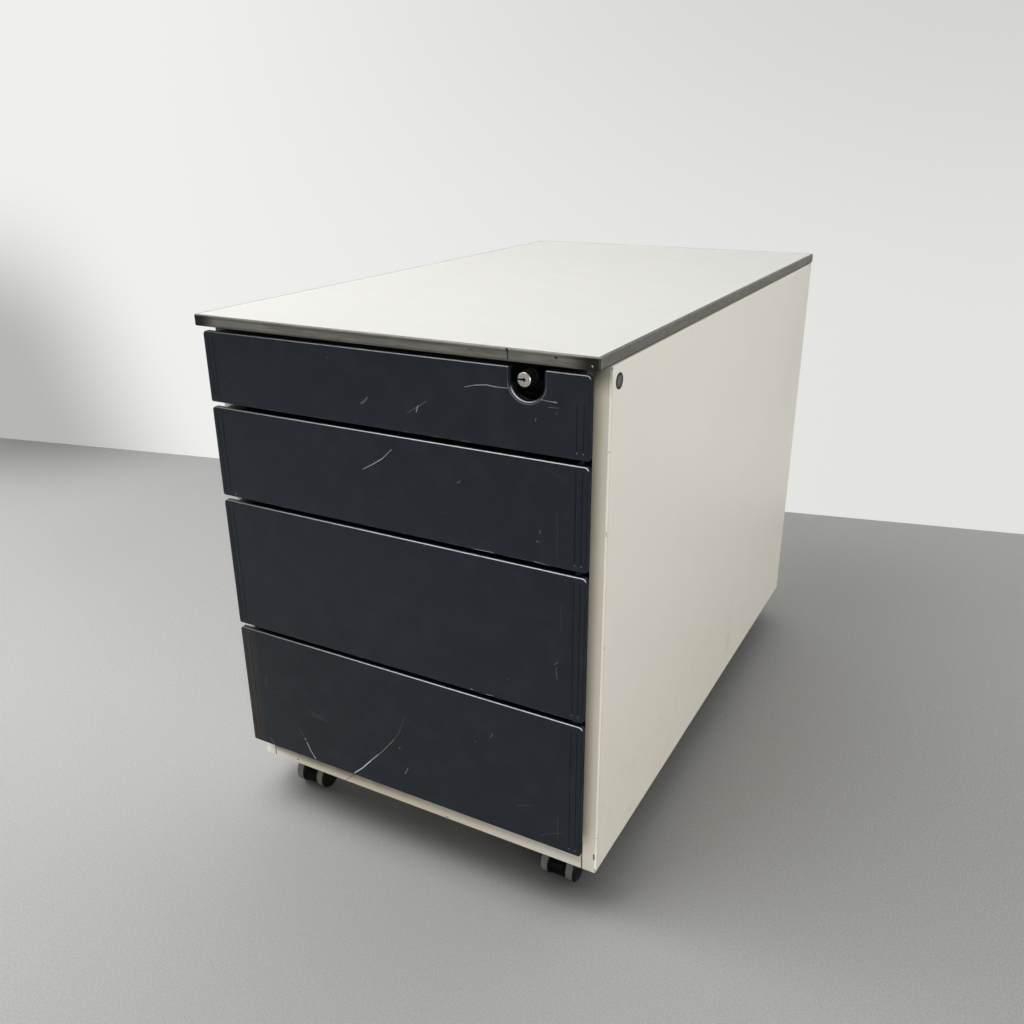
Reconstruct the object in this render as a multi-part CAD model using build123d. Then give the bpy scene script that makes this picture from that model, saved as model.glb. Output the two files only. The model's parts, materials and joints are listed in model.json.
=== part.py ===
from build123d import *
import os
from math import cos, radians, sin

# Mobile drawer pedestal: a steel carcass on four castors, a board top with an edge band, and
# four drawers with moulded fronts on telescopic runners, locked together by one lock.
# X runs to the right seen from the front, Y towards the back, Z up from the floor, in mm.

# Top board
TOP_WIDTH = 430.0
TOP_DEPTH = 750.0
TOP_THICKNESS = 11.0
BAND_THICKNESS = 2.0
BAND_ARRIS = 1.0
BAND_CORNER = 2.5

# Carcass
TOP_OVERHANG = 0.5
CARCASS_SETBACK = 25.0
BACK_SETBACK = 2.0
FLOOR_CLEARANCE = 46.0
SHEET = 1.0
STILE_WIDTH = 15.0
STILE_RETURN = 10.0
BEND_RADIUS = 2.0
PLINTH_SHOWN = 35.0
PLINTH_COVERED = 4.5
PLINTH_DEPTH = 15.0
BASE_HEIGHT = 11.0
TOP_RAIL_SHEET = 1.0
TOP_RAIL_DEPTH = 18.0
FRONT_RAIL_HEIGHT = 27.0
REAR_RAIL_HEIGHT = 23.0
REAR_RAIL_DEPTH = 21.0
REAR_RAIL_GAP = 22.0
RAIL_EAR_GAP = 2.5
RAIL_SEAM = 0.5
SEAT_GAP = 0.3

# Drawer fronts, from the top one down
FRONT_HEIGHTS = (71.0, 95.0, 145.0, 147.5)
FRONT_GAP = 5.0
FRONT_DROP = 4.5
FRONT_END_GAP = 7.5
FRONT_SETBACK = 2.0
PLATE_THICKNESS = 5.0
FRONT_CORNER = 4.0
FRONT_FOOT_CORNER = 2.0
LIP_RADIUS = 0.9
GRIP_OVERHANG = 13.5
BODY_BACK_GAP = 1.0
LEDGE_DROP = 0.8
MOULD_WALL = 2.5
RIB_THICKNESS = 1.8
RIB_COUNT = 5
BOSS_RADIUS = 4.0
BOSS_PILOT = 1.5
BOSS_INSET = 43.5
BOSS_RISE = 17.0
GROOVE_WIDTH = 0.8
GROOVE_DEPTH = 0.4
GROOVE_INSETS = (5.4, 11.5)
GROOVE_MARGIN = 6.0
LETTERING_HEIGHT = 24.0

# Lock and its cut-out
LOCK_SIDE = 64.5
LOCK_DROP = 12.8
LOCK_PROUD = 3.0
LOCK_FACE_RADIUS = 6.0
LOCK_FACE_THICKNESS = 1.5
LOCK_FACE_BEVEL = 0.4
CORE_RADIUS = 5.5
CORE_LENGTH = 45.0
SLEEVE_RADIUS = 7.0
SLEEVE_BORE_CLEARANCE = 0.08
SLEEVE_HOLE_CLEARANCE = 0.1
SLEEVE_TAIL = 18.0
LOCK_PLATE_WIDTH = 64.0
LOCK_PLATE_HEIGHT = 28.0
LOCK_PLATE_DROP = 1.0
LOCK_PLATE_CORNER = 3.0
LOCK_PLATE_THICKNESS = 1.5
KEYWAY_WIDTH = 1.6
KEYWAY_DEPTH = 9.0
KEY_HOLE_RADIUS = 1.5
CUTOUT_WIDTH = 32.0
CUTOUT_HEIGHT = 28.0
CUTOUT_WALL_DEPTH = 4.0
CUTOUT_CORNER = 2.5
CUTOUT_STEP = 1.6
CUTOUT_STEP_DEPTH = 0.6

# Locking rod, crank and bar behind the drawers
ROD_RADIUS = 3.0
ROD_SOCKET_DEPTH = 8.0
ROD_CLEARANCE = 0.05
CRANK_RADIUS = 9.0
CRANK_THICKNESS = 3.0
CRANK_THROW = 6.0
CRANK_PIN_RADIUS = 2.0
CRANK_SWING = 90.0
BAR_WIDTH = 36.0
BAR_THICKNESS = 2.0
BAR_PIN_SIDE = 8.0
BAR_HEAD = 7.1
BAR_TAIL = 20.0
BAR_BACK_GAP = 14.0
BAR_SLOT_CLEARANCE = 0.5
WINDOW_WIDTH = 10.0
WINDOW_CLEARANCE = 2.0
GUIDE_HEIGHT = 16.0
GUIDE_WALL = 4.0
GUIDE_LIP = 2.7
GUIDE_CLEARANCE = 0.3

# Drawer trays
TRAY_SHEET = 1.0
TRAY_BACK_GAP = 46.0
TRAY_RISE = 8.0
TRAY_HEIGHTS = (37.0, 70.0, 110.0, 110.0)
TRAY_BEND = 1.5
HEM_WIDTH = 5.0
HEM_THICKNESS = 1.6
TONGUE_LENGTH = 42.0
TONGUE_HEIGHT = 14.0
TONGUE_THICKNESS = 1.5
TONGUE_RISE = 9.0
TONGUE_INSET = 16.5
NOTCH_DEPTH = 8.0
NOTCH_WIDTH = 5.0

# Telescopic runners
RUNNER_HEIGHT = 35.0
RUNNER_SHEET = 1.2
RUNNER_CLEARANCE = 0.4
RUNNER_THICKNESS = 13.5
RUNNER_MOUTH = 2.5
RUNNER_FRONT_GAP = 7.0
RUNNER_BACK_GAP = 64.0
RUNNER_RISE = 18.0
RUNNER_BEND = 1.0
MIDDLE_SET = 10.0
UPRIGHT_WIDTH = 30.0
UPRIGHT_DEPTH = 15.5
UPRIGHT_SHEET = 1.0
UPRIGHT_FRONT_GAP = 24.0
UPRIGHT_REAR_GAP = 62.0
SLOT_PITCH = 50.0
SLOT_HEIGHT = 16.0
SLOT_WIDTH = 4.0

# Castors
CASTOR_SIDE_INSET = 50.5
CASTOR_FRONT_INSET = 43.0
CASTOR_REAR_INSET = 43.0
WHEEL_RADIUS = 16.5
WHEEL_WIDTH = 10.2
WHEEL_GAP = 18.6
WHEEL_ROUND = 1.6
WHEEL_DISH = 1.5
WHEEL_DISH_RADIUS = 12.5
WHEEL_HUB_RADIUS = 5.0
WHEEL_CAP = 2.0
TRAIL = 12.0
AXLE_RADIUS = 3.0
AXLE_CLEARANCE = 0.08
HOUSING_SIDE_GAP = 0.3
HOUSING_RADIUS = 15.0
WEB_DROP = 2.0
HOOD_GAP = 0.8
HOOD_THICKNESS = 1.8
HOOD_REAR_ANGLE = -15.0
HOOD_FRONT_ANGLE = 105.0
NECK_RADIUS = 10.0
STEM_RADIUS = 5.0
STEM_CLEARANCE = 0.08
STEM_END_GAP = 1.0
STEM_LENGTH = 24.0
PLATE_SIZE = 42.0
PLATE_SHEET = 2.5
PLATE_CORNER = 4.0
PLATE_HOLE_SPACING = 32.0
PLATE_HOLE_RADIUS = 2.3
SWIVEL_GAP = 0.3

# Side caps and top screws
CAP_RADIUS = 7.0
CAP_RIM_WIDTH = 1.5
CAP_DISH_DEPTH = 0.25
CAP_STEM_RADIUS = 5.4
CAP_WALL = 1.5
CAP_HOLE_CLEARANCE = 0.1
CAP_STEM_LENGTH = 7.0
CAP_SETBACK = 16.4
CAP_DROP = 15.2
SCREW_RADIUS = 2.0
SCREW_CLEARANCE = 0.1
SCREW_BITE = 7.0
SCREW_HEAD_RADIUS = 4.0
SCREW_HEAD_HEIGHT = 2.4
SCREW_SIDE_INSET = 54.5

# How far a cutting solid runs past a face, and how near counts as the same place
PAST = 1.0
NEAR = 0.01

# Places worked out from the sizes above
TOP_FRONT = LOCK_PROUD - (TOP_DEPTH + LOCK_PROUD) / 2
TOP_BACK = TOP_FRONT + TOP_DEPTH
FRONT_FACE = TOP_FRONT + FRONT_SETBACK
PLATE_BACK = FRONT_FACE + PLATE_THICKNESS
CARCASS_FRONT = TOP_FRONT + CARCASS_SETBACK
CARCASS_BACK = TOP_BACK - BACK_SETBACK
BODY_BACK = CARCASS_FRONT - BODY_BACK_GAP
SIDE_X = TOP_WIDTH / 2 - TOP_OVERHANG
STILE_X = SIDE_X - STILE_WIDTH
INNER_X = SIDE_X - SHEET
SCREW_X = SIDE_X - SCREW_SIDE_INSET
FRONT_WIDTH = 2 * (SIDE_X - FRONT_END_GAP)
BODY_WIDTH = FRONT_WIDTH - 2 * GRIP_OVERHANG
BOSS_X = BODY_WIDTH / 2 - BOSS_INSET
STACK_HEIGHT = sum(FRONT_HEIGHTS) + FRONT_GAP * (len(FRONT_HEIGHTS) - 1)
PLINTH_TOP = FLOOR_CLEARANCE + PLINTH_SHOWN
BOARD_BOTTOM = PLINTH_TOP + STACK_HEIGHT + FRONT_DROP
BOARD_TOP = BOARD_BOTTOM + TOP_THICKNESS
SIDE_TOP = BOARD_BOTTOM - TOP_RAIL_SHEET
BASE_BOTTOM = FLOOR_CLEARANCE + SHEET
BASE_TOP = BASE_BOTTOM + BASE_HEIGHT
BACK_FACE = CARCASS_BACK - 2 * SHEET
TRAY_BACK = BACK_FACE - TRAY_BACK_GAP
RUNNER_X = INNER_X - UPRIGHT_DEPTH
TRAY_WIDTH = 2 * (RUNNER_X - RUNNER_THICKNESS)
RUNNER_FRONT = CARCASS_FRONT + RUNNER_FRONT_GAP
RUNNER_BACK = BACK_FACE - RUNNER_BACK_GAP
LOCK_X = SIDE_X - LOCK_SIDE
LOCK_Z = BOARD_BOTTOM - LOCK_DROP
LOCK_FACE = TOP_FRONT - LOCK_PROUD
SLEEVE_FRONT = LOCK_FACE + LOCK_FACE_THICKNESS + SEAT_GAP
SLEEVE_BACK = CARCASS_FRONT + SHEET + SLEEVE_TAIL
CORE_BACK = LOCK_FACE + CORE_LENGTH
BAR_BACK = BACK_FACE - BAR_BACK_GAP
BAR_FRONT = BAR_BACK - BAR_THICKNESS
CRANK_BACK = BAR_FRONT - CRANK_THICKNESS
CRANK_FRONT = CRANK_BACK - CRANK_THICKNESS
PIN_DX = CRANK_THROW * cos(radians(CRANK_SWING / 2))
PIN_DZ = CRANK_THROW * sin(radians(CRANK_SWING / 2))
BAR_LIFT = 2 * PIN_DZ
TONGUE_X = TRAY_WIDTH / 2 - TONGUE_INSET
BAR_X0 = LOCK_X - BAR_PIN_SIDE
CASTOR_X = SIDE_X - CASTOR_SIDE_INSET
AXLE_Z = WHEEL_RADIUS
HOOD_RADIUS = WHEEL_RADIUS + HOOD_GAP + HOOD_THICKNESS
PLATE_BOTTOM = BASE_TOP - SHEET - PLATE_SHEET
HOUSING_TOP = PLATE_BOTTOM - SWIVEL_GAP
STEM_BOTTOM = PLATE_BOTTOM - STEM_LENGTH


def front_bottoms():
    """Lower edges of the fronts, from the top drawer down."""
    levels = []
    top = BOARD_BOTTOM - FRONT_DROP
    for height in FRONT_HEIGHTS:
        levels.append(top - height)
        top = top - height - FRONT_GAP
    return levels


FRONT_BOTTOMS = front_bottoms()
TRAY_BOTTOMS = [level + TRAY_RISE for level in FRONT_BOTTOMS]


def block(x0, x1, y0, y1, z0, z1):
    """Cuboid between two corners."""
    middle = ((x0 + x1) / 2, (y0 + y1) / 2, (z0 + z1) / 2)
    return Pos(*middle) * Box(x1 - x0, y1 - y0, z1 - z0)


def bar_along_y(x, z, radius, y0, y1):
    """Round bar that runs front to back."""
    return Pos(x, (y0 + y1) / 2, z) * Rot(90, 0, 0) * Cylinder(radius, y1 - y0)


def bar_along_x(y, z, radius, x0, x1):
    """Round bar that runs left to right."""
    return Pos((x0 + x1) / 2, y, z) * Rot(0, 90, 0) * Cylinder(radius, x1 - x0)


def bar_along_z(x, y, radius, z0, z1):
    """Upright round bar."""
    return Pos(x, y, (z0 + z1) / 2) * Cylinder(radius, z1 - z0)


def wall_plane(y):
    """Upright plane across the object, drawn on in X and Z, facing the front."""
    return Plane(origin=(0, y, 0), x_dir=(1, 0, 0), z_dir=(0, -1, 0))


def side_plane(x):
    """Upright plane along the object, drawn on in Y and Z, facing the right."""
    return Plane(origin=(x, 0, 0), x_dir=(0, 1, 0), z_dir=(1, 0, 0))


def mirrored(solid):
    """Left-hand copy of a right-hand piece."""
    return mirror(solid, about=Plane.YZ)


def save(name, *solids):
    """Write one node."""
    shape = solids[0] if len(solids) == 1 else Compound(list(solids))
    export_step(shape, f"parts/{name}.step")


def screw_places():
    """Screws that hold the board to the two top rails."""
    front_y = CARCASS_FRONT + SHEET + TOP_RAIL_DEPTH / 2
    rear_y = rear_rail_front() + REAR_RAIL_DEPTH / 2
    return [(x, y) for x in (-SCREW_X, 0, SCREW_X) for y in (front_y, rear_y)]


def rear_rail_front():
    """Front face of the rear top rail."""
    return BACK_FACE - REAR_RAIL_GAP - REAR_RAIL_DEPTH


def top_board():
    """Laminated board inside its edge band, with pilot holes for the screws."""
    half = TOP_WIDTH / 2 - BAND_THICKNESS
    front = TOP_FRONT + BAND_THICKNESS
    back = TOP_BACK - BAND_THICKNESS
    board = block(-half, half, front, back, BOARD_BOTTOM, BOARD_TOP)
    for x, y in screw_places():
        board -= bar_along_z(x, y, SCREW_RADIUS + SCREW_CLEARANCE,
                             BOARD_BOTTOM, BOARD_BOTTOM + SCREW_BITE + SEAT_GAP)
    return board


def edge_band():
    """Band round all four edges of the board, with eased arrises."""
    middle = (TOP_FRONT + TOP_BACK) / 2
    outline = Pos(0, middle, BOARD_BOTTOM) * RectangleRounded(TOP_WIDTH, TOP_DEPTH, BAND_CORNER)
    band = extrude(outline, TOP_THICKNESS)
    rims = band.faces().sort_by(Axis.Z)
    band = fillet(rims[0].edges() + rims[-1].edges(), BAND_ARRIS)
    half = TOP_WIDTH / 2 - BAND_THICKNESS
    hole = block(-half, half, TOP_FRONT + BAND_THICKNESS, TOP_BACK - BAND_THICKNESS,
                 BOARD_BOTTOM - PAST, BOARD_TOP + PAST)
    return band - hole


def side_panel():
    """Right-hand pressed panel: a tray on edge whose front wall is the stile."""
    skin = block(STILE_X, SIDE_X, CARCASS_FRONT, CARCASS_BACK, FLOOR_CLEARANCE, SIDE_TOP)
    outer = skin.faces().sort_by(Axis.X)[-1]
    skin = fillet(outer.edges(), BEND_RADIUS)
    hollow = block(STILE_X - PAST, INNER_X, CARCASS_FRONT + SHEET, CARCASS_BACK - SHEET,
                   BASE_BOTTOM, SIDE_TOP - SHEET)
    inner = hollow.faces().sort_by(Axis.X)[-1]
    hollow = fillet(inner.edges(), BEND_RADIUS - SHEET)
    lip = block(STILE_X, STILE_X + SHEET, CARCASS_FRONT + SHEET, CARCASS_FRONT + STILE_RETURN,
                BASE_BOTTOM, SIDE_TOP - SHEET)
    cap_hole = bar_along_x(CARCASS_FRONT + CAP_SETBACK, SIDE_TOP - CAP_DROP,
                           CAP_STEM_RADIUS + CAP_HOLE_CLEARANCE, INNER_X - PAST, SIDE_X + PAST)
    return skin - hollow + lip - cap_hole


def side_cap():
    """Right-hand push-in cap that covers a fixing hole near the top of the stile."""
    y = CARCASS_FRONT + CAP_SETBACK
    z = SIDE_TOP - CAP_DROP
    head = bar_along_x(y, z, CAP_RADIUS, SIDE_X, TOP_WIDTH / 2)
    head -= bar_along_x(y, z, CAP_RADIUS - CAP_RIM_WIDTH,
                        TOP_WIDTH / 2 - CAP_DISH_DEPTH, TOP_WIDTH / 2 + PAST)
    stem = bar_along_x(y, z, CAP_STEM_RADIUS, SIDE_X - CAP_STEM_LENGTH, SIDE_X)
    bore = bar_along_x(y, z, CAP_STEM_RADIUS - CAP_WALL, SIDE_X - CAP_STEM_LENGTH - PAST,
                       SIDE_X - CAP_WALL)
    return head + stem - bore


def back_panel():
    """Flat panel held inside the rear flanges of the two side panels."""
    half = INNER_X - BEND_RADIUS
    return block(-half, half, BACK_FACE, CARCASS_BACK - SHEET,
                 BASE_BOTTOM + SEAT_GAP, SIDE_TOP - SHEET - SEAT_GAP)


def castor_places():
    """Swivel axes of the four castors by name."""
    front = CARCASS_FRONT + CASTOR_FRONT_INSET
    rear = CARCASS_BACK - CASTOR_REAR_INSET
    return {"front_left": (-CASTOR_X, front), "front_right": (CASTOR_X, front),
            "rear_left": (-CASTOR_X, rear), "rear_right": (CASTOR_X, rear)}


def base_panel():
    """Floor of the carcass: a pan turned over, standing on the flanges of the side panels."""
    front = CARCASS_FRONT + STILE_RETURN + SEAT_GAP
    half = INNER_X - BEND_RADIUS
    pan = block(-half, half, front, BACK_FACE, BASE_BOTTOM, BASE_TOP)
    hollow = block(-half + SHEET, half - SHEET, front + SHEET, BACK_FACE - SHEET,
                   BASE_BOTTOM - PAST, BASE_TOP - SHEET)
    return pan - hollow


def channel_across(half, y0, y1, z0, z1, sheet):
    """Channel across the carcass, open to the back, with its web in front."""
    outer = block(-half, half, y0, y1, z0, z1)
    inner = block(-half - PAST, half + PAST, y0 + sheet, y1 + PAST, z0 + sheet, z1 - sheet)
    return outer - inner


def bottom_front_rail():
    """Folded rail below the lowest drawer, between the two stiles."""
    return channel_across(STILE_X - RAIL_SEAM, CARCASS_FRONT, CARCASS_FRONT + PLINTH_DEPTH,
                          FLOOR_CLEARANCE, PLINTH_TOP + PLINTH_COVERED, SHEET)


def rail_holes():
    """Clearance holes for the board's screws."""
    holes = [bar_along_z(x, y, SCREW_RADIUS + SCREW_CLEARANCE,
                         SIDE_TOP - PAST, BOARD_BOTTOM + PAST) for x, y in screw_places()]
    return Compound(holes)


def top_ears(y0, y1):
    """Top flange of a rail, long enough to lie on the flanges of both side panels."""
    half = INNER_X - RAIL_EAR_GAP
    return block(-half, half, y0, y1, SIDE_TOP, BOARD_BOTTOM)


def top_front_rail():
    """Rail behind the top drawer's front, which carries the lock."""
    y0 = CARCASS_FRONT + SHEET
    rail = channel_across(STILE_X, y0, y0 + TOP_RAIL_DEPTH,
                          BOARD_BOTTOM - FRONT_RAIL_HEIGHT, SIDE_TOP, TOP_RAIL_SHEET)
    rail -= block(-STILE_X, STILE_X, y0 + TOP_RAIL_SHEET, y0 + TOP_RAIL_DEPTH,
                  SIDE_TOP - TOP_RAIL_SHEET, SIDE_TOP)
    rail += top_ears(y0, y0 + TOP_RAIL_DEPTH)
    hole = bar_along_y(LOCK_X, LOCK_Z, SLEEVE_RADIUS + SLEEVE_HOLE_CLEARANCE,
                       y0 - PAST, y0 + TOP_RAIL_SHEET + PAST)
    return rail - hole - rail_holes()


def top_rear_rail():
    """Rail at the back of the top, with a bearing hole for the locking rod."""
    y0 = rear_rail_front()
    rail = channel_across(STILE_X - SEAT_GAP, y0, y0 + REAR_RAIL_DEPTH,
                          BOARD_BOTTOM - REAR_RAIL_HEIGHT, SIDE_TOP, TOP_RAIL_SHEET)
    rail -= block(-STILE_X, STILE_X, y0 + TOP_RAIL_SHEET, y0 + REAR_RAIL_DEPTH,
                  SIDE_TOP - TOP_RAIL_SHEET, SIDE_TOP)
    rail += top_ears(y0, y0 + REAR_RAIL_DEPTH)
    hole = bar_along_y(LOCK_X, LOCK_Z, ROD_RADIUS + ROD_CLEARANCE,
                       y0 - PAST, y0 + TOP_RAIL_SHEET + PAST)
    return rail - hole - rail_holes()


def top_screw(x, y):
    """Screw from below through a top rail into the board."""
    head = bar_along_z(x, y, SCREW_HEAD_RADIUS, SIDE_TOP - SCREW_HEAD_HEIGHT, SIDE_TOP)
    return head + bar_along_z(x, y, SCREW_RADIUS, SIDE_TOP, BOARD_BOTTOM + SCREW_BITE)


def upright_fronts():
    """Front edges of the two uprights on one side."""
    rear = BACK_FACE - UPRIGHT_REAR_GAP - UPRIGHT_WIDTH
    return {"front": CARCASS_FRONT + UPRIGHT_FRONT_GAP, "rear": rear}


def upright(y0):
    """Right-hand slotted channel on the side panel, which carries the runners."""
    y1 = y0 + UPRIGHT_WIDTH
    z1 = SIDE_TOP - BEND_RADIUS
    post = block(RUNNER_X, INNER_X, y0, y1, BASE_TOP, z1)
    post -= block(RUNNER_X + UPRIGHT_SHEET, INNER_X + PAST, y0 + UPRIGHT_SHEET, y1 - UPRIGHT_SHEET,
                  BASE_TOP - PAST, z1 + PAST)
    middle = (y0 + y1) / 2
    count = int((z1 - BASE_TOP - SLOT_HEIGHT) / SLOT_PITCH)
    for step in range(count):
        z = BASE_TOP + SLOT_PITCH * (step + 0.5)
        post -= block(RUNNER_X - PAST, RUNNER_X + 2 * UPRIGHT_SHEET,
                      middle - SLOT_WIDTH / 2, middle + SLOT_WIDTH / 2, z, z + SLOT_HEIGHT)
    return post


def runner_channel(x_web, x_mouth, half_height, y0, y1, z):
    """Rolled channel along Y with its web at x_web and its mouth at x_mouth."""
    depth = abs(x_mouth - x_web)
    turn = 1 if x_mouth > x_web else -1
    outer = Rectangle(depth, 2 * half_height, align=(Align.MIN, Align.CENTER))
    outer = fillet(outer.vertices().filter_by_position(Axis.X, -NEAR, NEAR),
                   RUNNER_BEND + RUNNER_SHEET)
    inner = Pos(RUNNER_SHEET, 0) * Rectangle(depth, 2 * (half_height - RUNNER_SHEET),
                                             align=(Align.MIN, Align.CENTER))
    inner = fillet(inner.vertices().filter_by_position(Axis.X, RUNNER_SHEET - NEAR,
                                                       RUNNER_SHEET + NEAR), RUNNER_BEND)
    section = outer - inner
    plane = Plane(origin=(x_web, y0, z), x_dir=(turn, 0, 0), z_dir=(0, turn, 0))
    return extrude(plane * section, (y1 - y0) * turn)


def runner_z(index):
    """Middle height of a drawer's runners."""
    return TRAY_BOTTOMS[index] + RUNNER_RISE


def outer_runner(index):
    """Right-hand cabinet member, fixed to the uprights."""
    mouth = RUNNER_X - RUNNER_THICKNESS + RUNNER_MOUTH
    return runner_channel(RUNNER_X, mouth, RUNNER_HEIGHT / 2, RUNNER_FRONT, RUNNER_BACK,
                          runner_z(index))


def middle_runner(index):
    """Right-hand floating member, nested in the cabinet member."""
    web = RUNNER_X - RUNNER_SHEET - RUNNER_CLEARANCE
    mouth = RUNNER_X - RUNNER_THICKNESS + RUNNER_MOUTH
    half = RUNNER_HEIGHT / 2 - RUNNER_SHEET - RUNNER_CLEARANCE
    return runner_channel(web, mouth, half, RUNNER_FRONT, RUNNER_BACK - MIDDLE_SET,
                          runner_z(index))


def inner_runner(index):
    """Right-hand drawer member, fixed to the tray and nested in the floating member."""
    web = TRAY_WIDTH / 2
    mouth = RUNNER_X - 2 * (RUNNER_SHEET + RUNNER_CLEARANCE)
    half = RUNNER_HEIGHT / 2 - 2 * (RUNNER_SHEET + RUNNER_CLEARANCE)
    return runner_channel(web, mouth, half, RUNNER_FRONT, RUNNER_BACK - 2 * MIDDLE_SET,
                          runner_z(index))


def tray_side(bottom, top):
    """Right-hand folded side of a tray, with a foot below and a hem along the top."""
    half = TRAY_WIDTH / 2
    wall = block(half - HEM_WIDTH, half, BODY_BACK, TRAY_BACK, bottom, top)
    outer = wall.edges().filter_by(Axis.Y).sort_by(Axis.Z)[:2].sort_by(Axis.X)[-1]
    wall = fillet(outer, TRAY_BEND)
    hollow = block(half - HEM_WIDTH - PAST, half - TRAY_SHEET, BODY_BACK - PAST, TRAY_BACK + PAST,
                   bottom + TRAY_SHEET, top - HEM_THICKNESS)
    inner = hollow.edges().filter_by(Axis.Y).sort_by(Axis.Z)[:2].sort_by(Axis.X)[-1]
    wall -= fillet(inner, TRAY_BEND - TRAY_SHEET)
    front_end = (BODY_BACK - PAST, BODY_BACK + TRAY_SHEET)
    back_end = (TRAY_BACK - TRAY_SHEET, TRAY_BACK + PAST)
    for y0, y1 in (front_end, back_end):
        wall -= block(half - HEM_WIDTH - PAST, half - TRAY_SHEET, y0, y1, bottom - PAST, top + PAST)
    return wall


def tray(index):
    """Steel tray: two folded sides, a bottom, a front and a back wall, and a tongue."""
    bottom = TRAY_BOTTOMS[index]
    top = bottom + TRAY_HEIGHTS[index]
    half = TRAY_WIDTH / 2 - TRAY_SHEET
    floor_half = TRAY_WIDTH / 2 - HEM_WIDTH
    side = tray_side(bottom, top)
    floor = block(-floor_half, floor_half, BODY_BACK + TRAY_SHEET, TRAY_BACK - TRAY_SHEET,
                  bottom, bottom + TRAY_SHEET)
    front = block(-half, half, BODY_BACK, BODY_BACK + TRAY_SHEET, bottom, top)
    back = block(-half, half, TRAY_BACK - TRAY_SHEET, TRAY_BACK, bottom, top)
    return [side, mirrored(side), floor, front, back, tongue(bottom + TONGUE_RISE)]


def tongue(z0):
    """Upright tongue behind the tray, notched below for the locking bar."""
    z1 = z0 + TONGUE_HEIGHT
    half = TONGUE_THICKNESS / 2
    middle = (BAR_FRONT + BAR_BACK) / 2
    blade = block(TONGUE_X - half, TONGUE_X + half, TRAY_BACK, TRAY_BACK + TONGUE_LENGTH, z0, z1)
    notch = block(TONGUE_X - PAST - half, TONGUE_X + PAST + half, middle - NOTCH_WIDTH / 2,
                  middle + NOTCH_WIDTH / 2, z0 - PAST, z0 + NOTCH_DEPTH)
    return blade - notch


def cutout_outline(grow):
    """Outline of the lock cut-out, open at the top: a half round below a straight part."""
    radius = CUTOUT_WIDTH / 2 + grow
    top = BOARD_BOTTOM - FRONT_DROP
    centre = top - CUTOUT_HEIGHT + CUTOUT_WIDTH / 2
    straight = Pos(LOCK_X, centre) * Rectangle(2 * radius, top - centre + PAST,
                                               align=(Align.CENTER, Align.MIN))
    return Pos(LOCK_X, centre) * Circle(radius) + straight


def front_outline(bottom, height, has_lock):
    """Outline of a front, rounder at its upper corners, with the lock cut-out on the top one."""
    top = bottom + height
    outline = Pos(0, bottom + height / 2) * Rectangle(FRONT_WIDTH, height)
    outline = fillet([v for v in outline.vertices() if abs(v.Y - top) < NEAR], FRONT_CORNER)
    outline = fillet([v for v in outline.vertices() if abs(v.Y - bottom) < NEAR], FRONT_FOOT_CORNER)
    if not has_lock:
        return outline
    outline -= cutout_outline(0)
    edge = CUTOUT_WIDTH / 2
    corners = [v for v in outline.vertices()
               if abs(v.Y - top) < NEAR and abs(abs(v.X - LOCK_X) - edge) < NEAR]
    return fillet(corners, CUTOUT_CORNER)


def front_plate(bottom, height, has_lock):
    """Face of a front: it overhangs the body at both ends, where a hand pulls it."""
    outline = front_outline(bottom, height, has_lock)
    plate = extrude(wall_plane(FRONT_FACE) * outline, -PLATE_THICKNESS)
    rim = plate.faces().sort_by(Axis.Y)[0].edges()
    plate = fillet(rim, LIP_RADIUS)
    if has_lock:
        plate -= extrude(wall_plane(FRONT_FACE) * cutout_outline(CUTOUT_STEP), -CUTOUT_STEP_DEPTH)
    return plate


def front_grooves(bottom, height, has_lock):
    """Two fine upright grooves near each end of a front."""
    grooves = []
    for side in (-1, 1):
        skip = LETTERING_HEIGHT if has_lock and side > 0 else GROOVE_MARGIN
        for inset in GROOVE_INSETS:
            x = side * (FRONT_WIDTH / 2 - inset)
            grooves.append(block(x - GROOVE_WIDTH / 2, x + GROOVE_WIDTH / 2,
                                 FRONT_FACE - PAST, FRONT_FACE + GROOVE_DEPTH,
                                 bottom + GROOVE_MARGIN, bottom + height - skip))
    return Compound(grooves)


def front_body(bottom, height, has_lock):
    """Hollow ribbed body behind the plate, open to the tray."""
    z0 = bottom + LEDGE_DROP
    z1 = bottom + height - LEDGE_DROP
    half = BODY_WIDTH / 2
    body = block(-half, half, PLATE_BACK, BODY_BACK, z0, z1)
    body -= block(-half + MOULD_WALL, half - MOULD_WALL, PLATE_BACK, BODY_BACK,
                  z0 + MOULD_WALL, z1 - MOULD_WALL)
    pitch = BODY_WIDTH / (RIB_COUNT + 1)
    for step in range(1, RIB_COUNT + 1):
        x = -half + pitch * step
        body += block(x - RIB_THICKNESS / 2, x + RIB_THICKNESS / 2, PLATE_BACK, BODY_BACK,
                      z0 + MOULD_WALL, z1 - MOULD_WALL)
    for side in (-1, 1):
        z = bottom + TRAY_RISE + BOSS_RISE
        body += bar_along_y(side * BOSS_X, z, BOSS_RADIUS, PLATE_BACK, BODY_BACK)
    if has_lock:
        wall = extrude(wall_plane(PLATE_BACK) * cutout_outline(MOULD_WALL), -CUTOUT_WALL_DEPTH)
        body += wall & block(-half, half, PLATE_BACK, BODY_BACK, z0, z1)
        body -= extrude(wall_plane(PLATE_BACK) * cutout_outline(0), -(BODY_BACK - PLATE_BACK))
    return body


def boss_pilots(bottom):
    """Pilot holes for the screws that hold the tray to the front."""
    z = bottom + TRAY_RISE + BOSS_RISE
    holes = [bar_along_y(side * BOSS_X, z, BOSS_PILOT, PLATE_BACK, BODY_BACK)
             for side in (-1, 1)]
    return Compound(holes)


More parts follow.
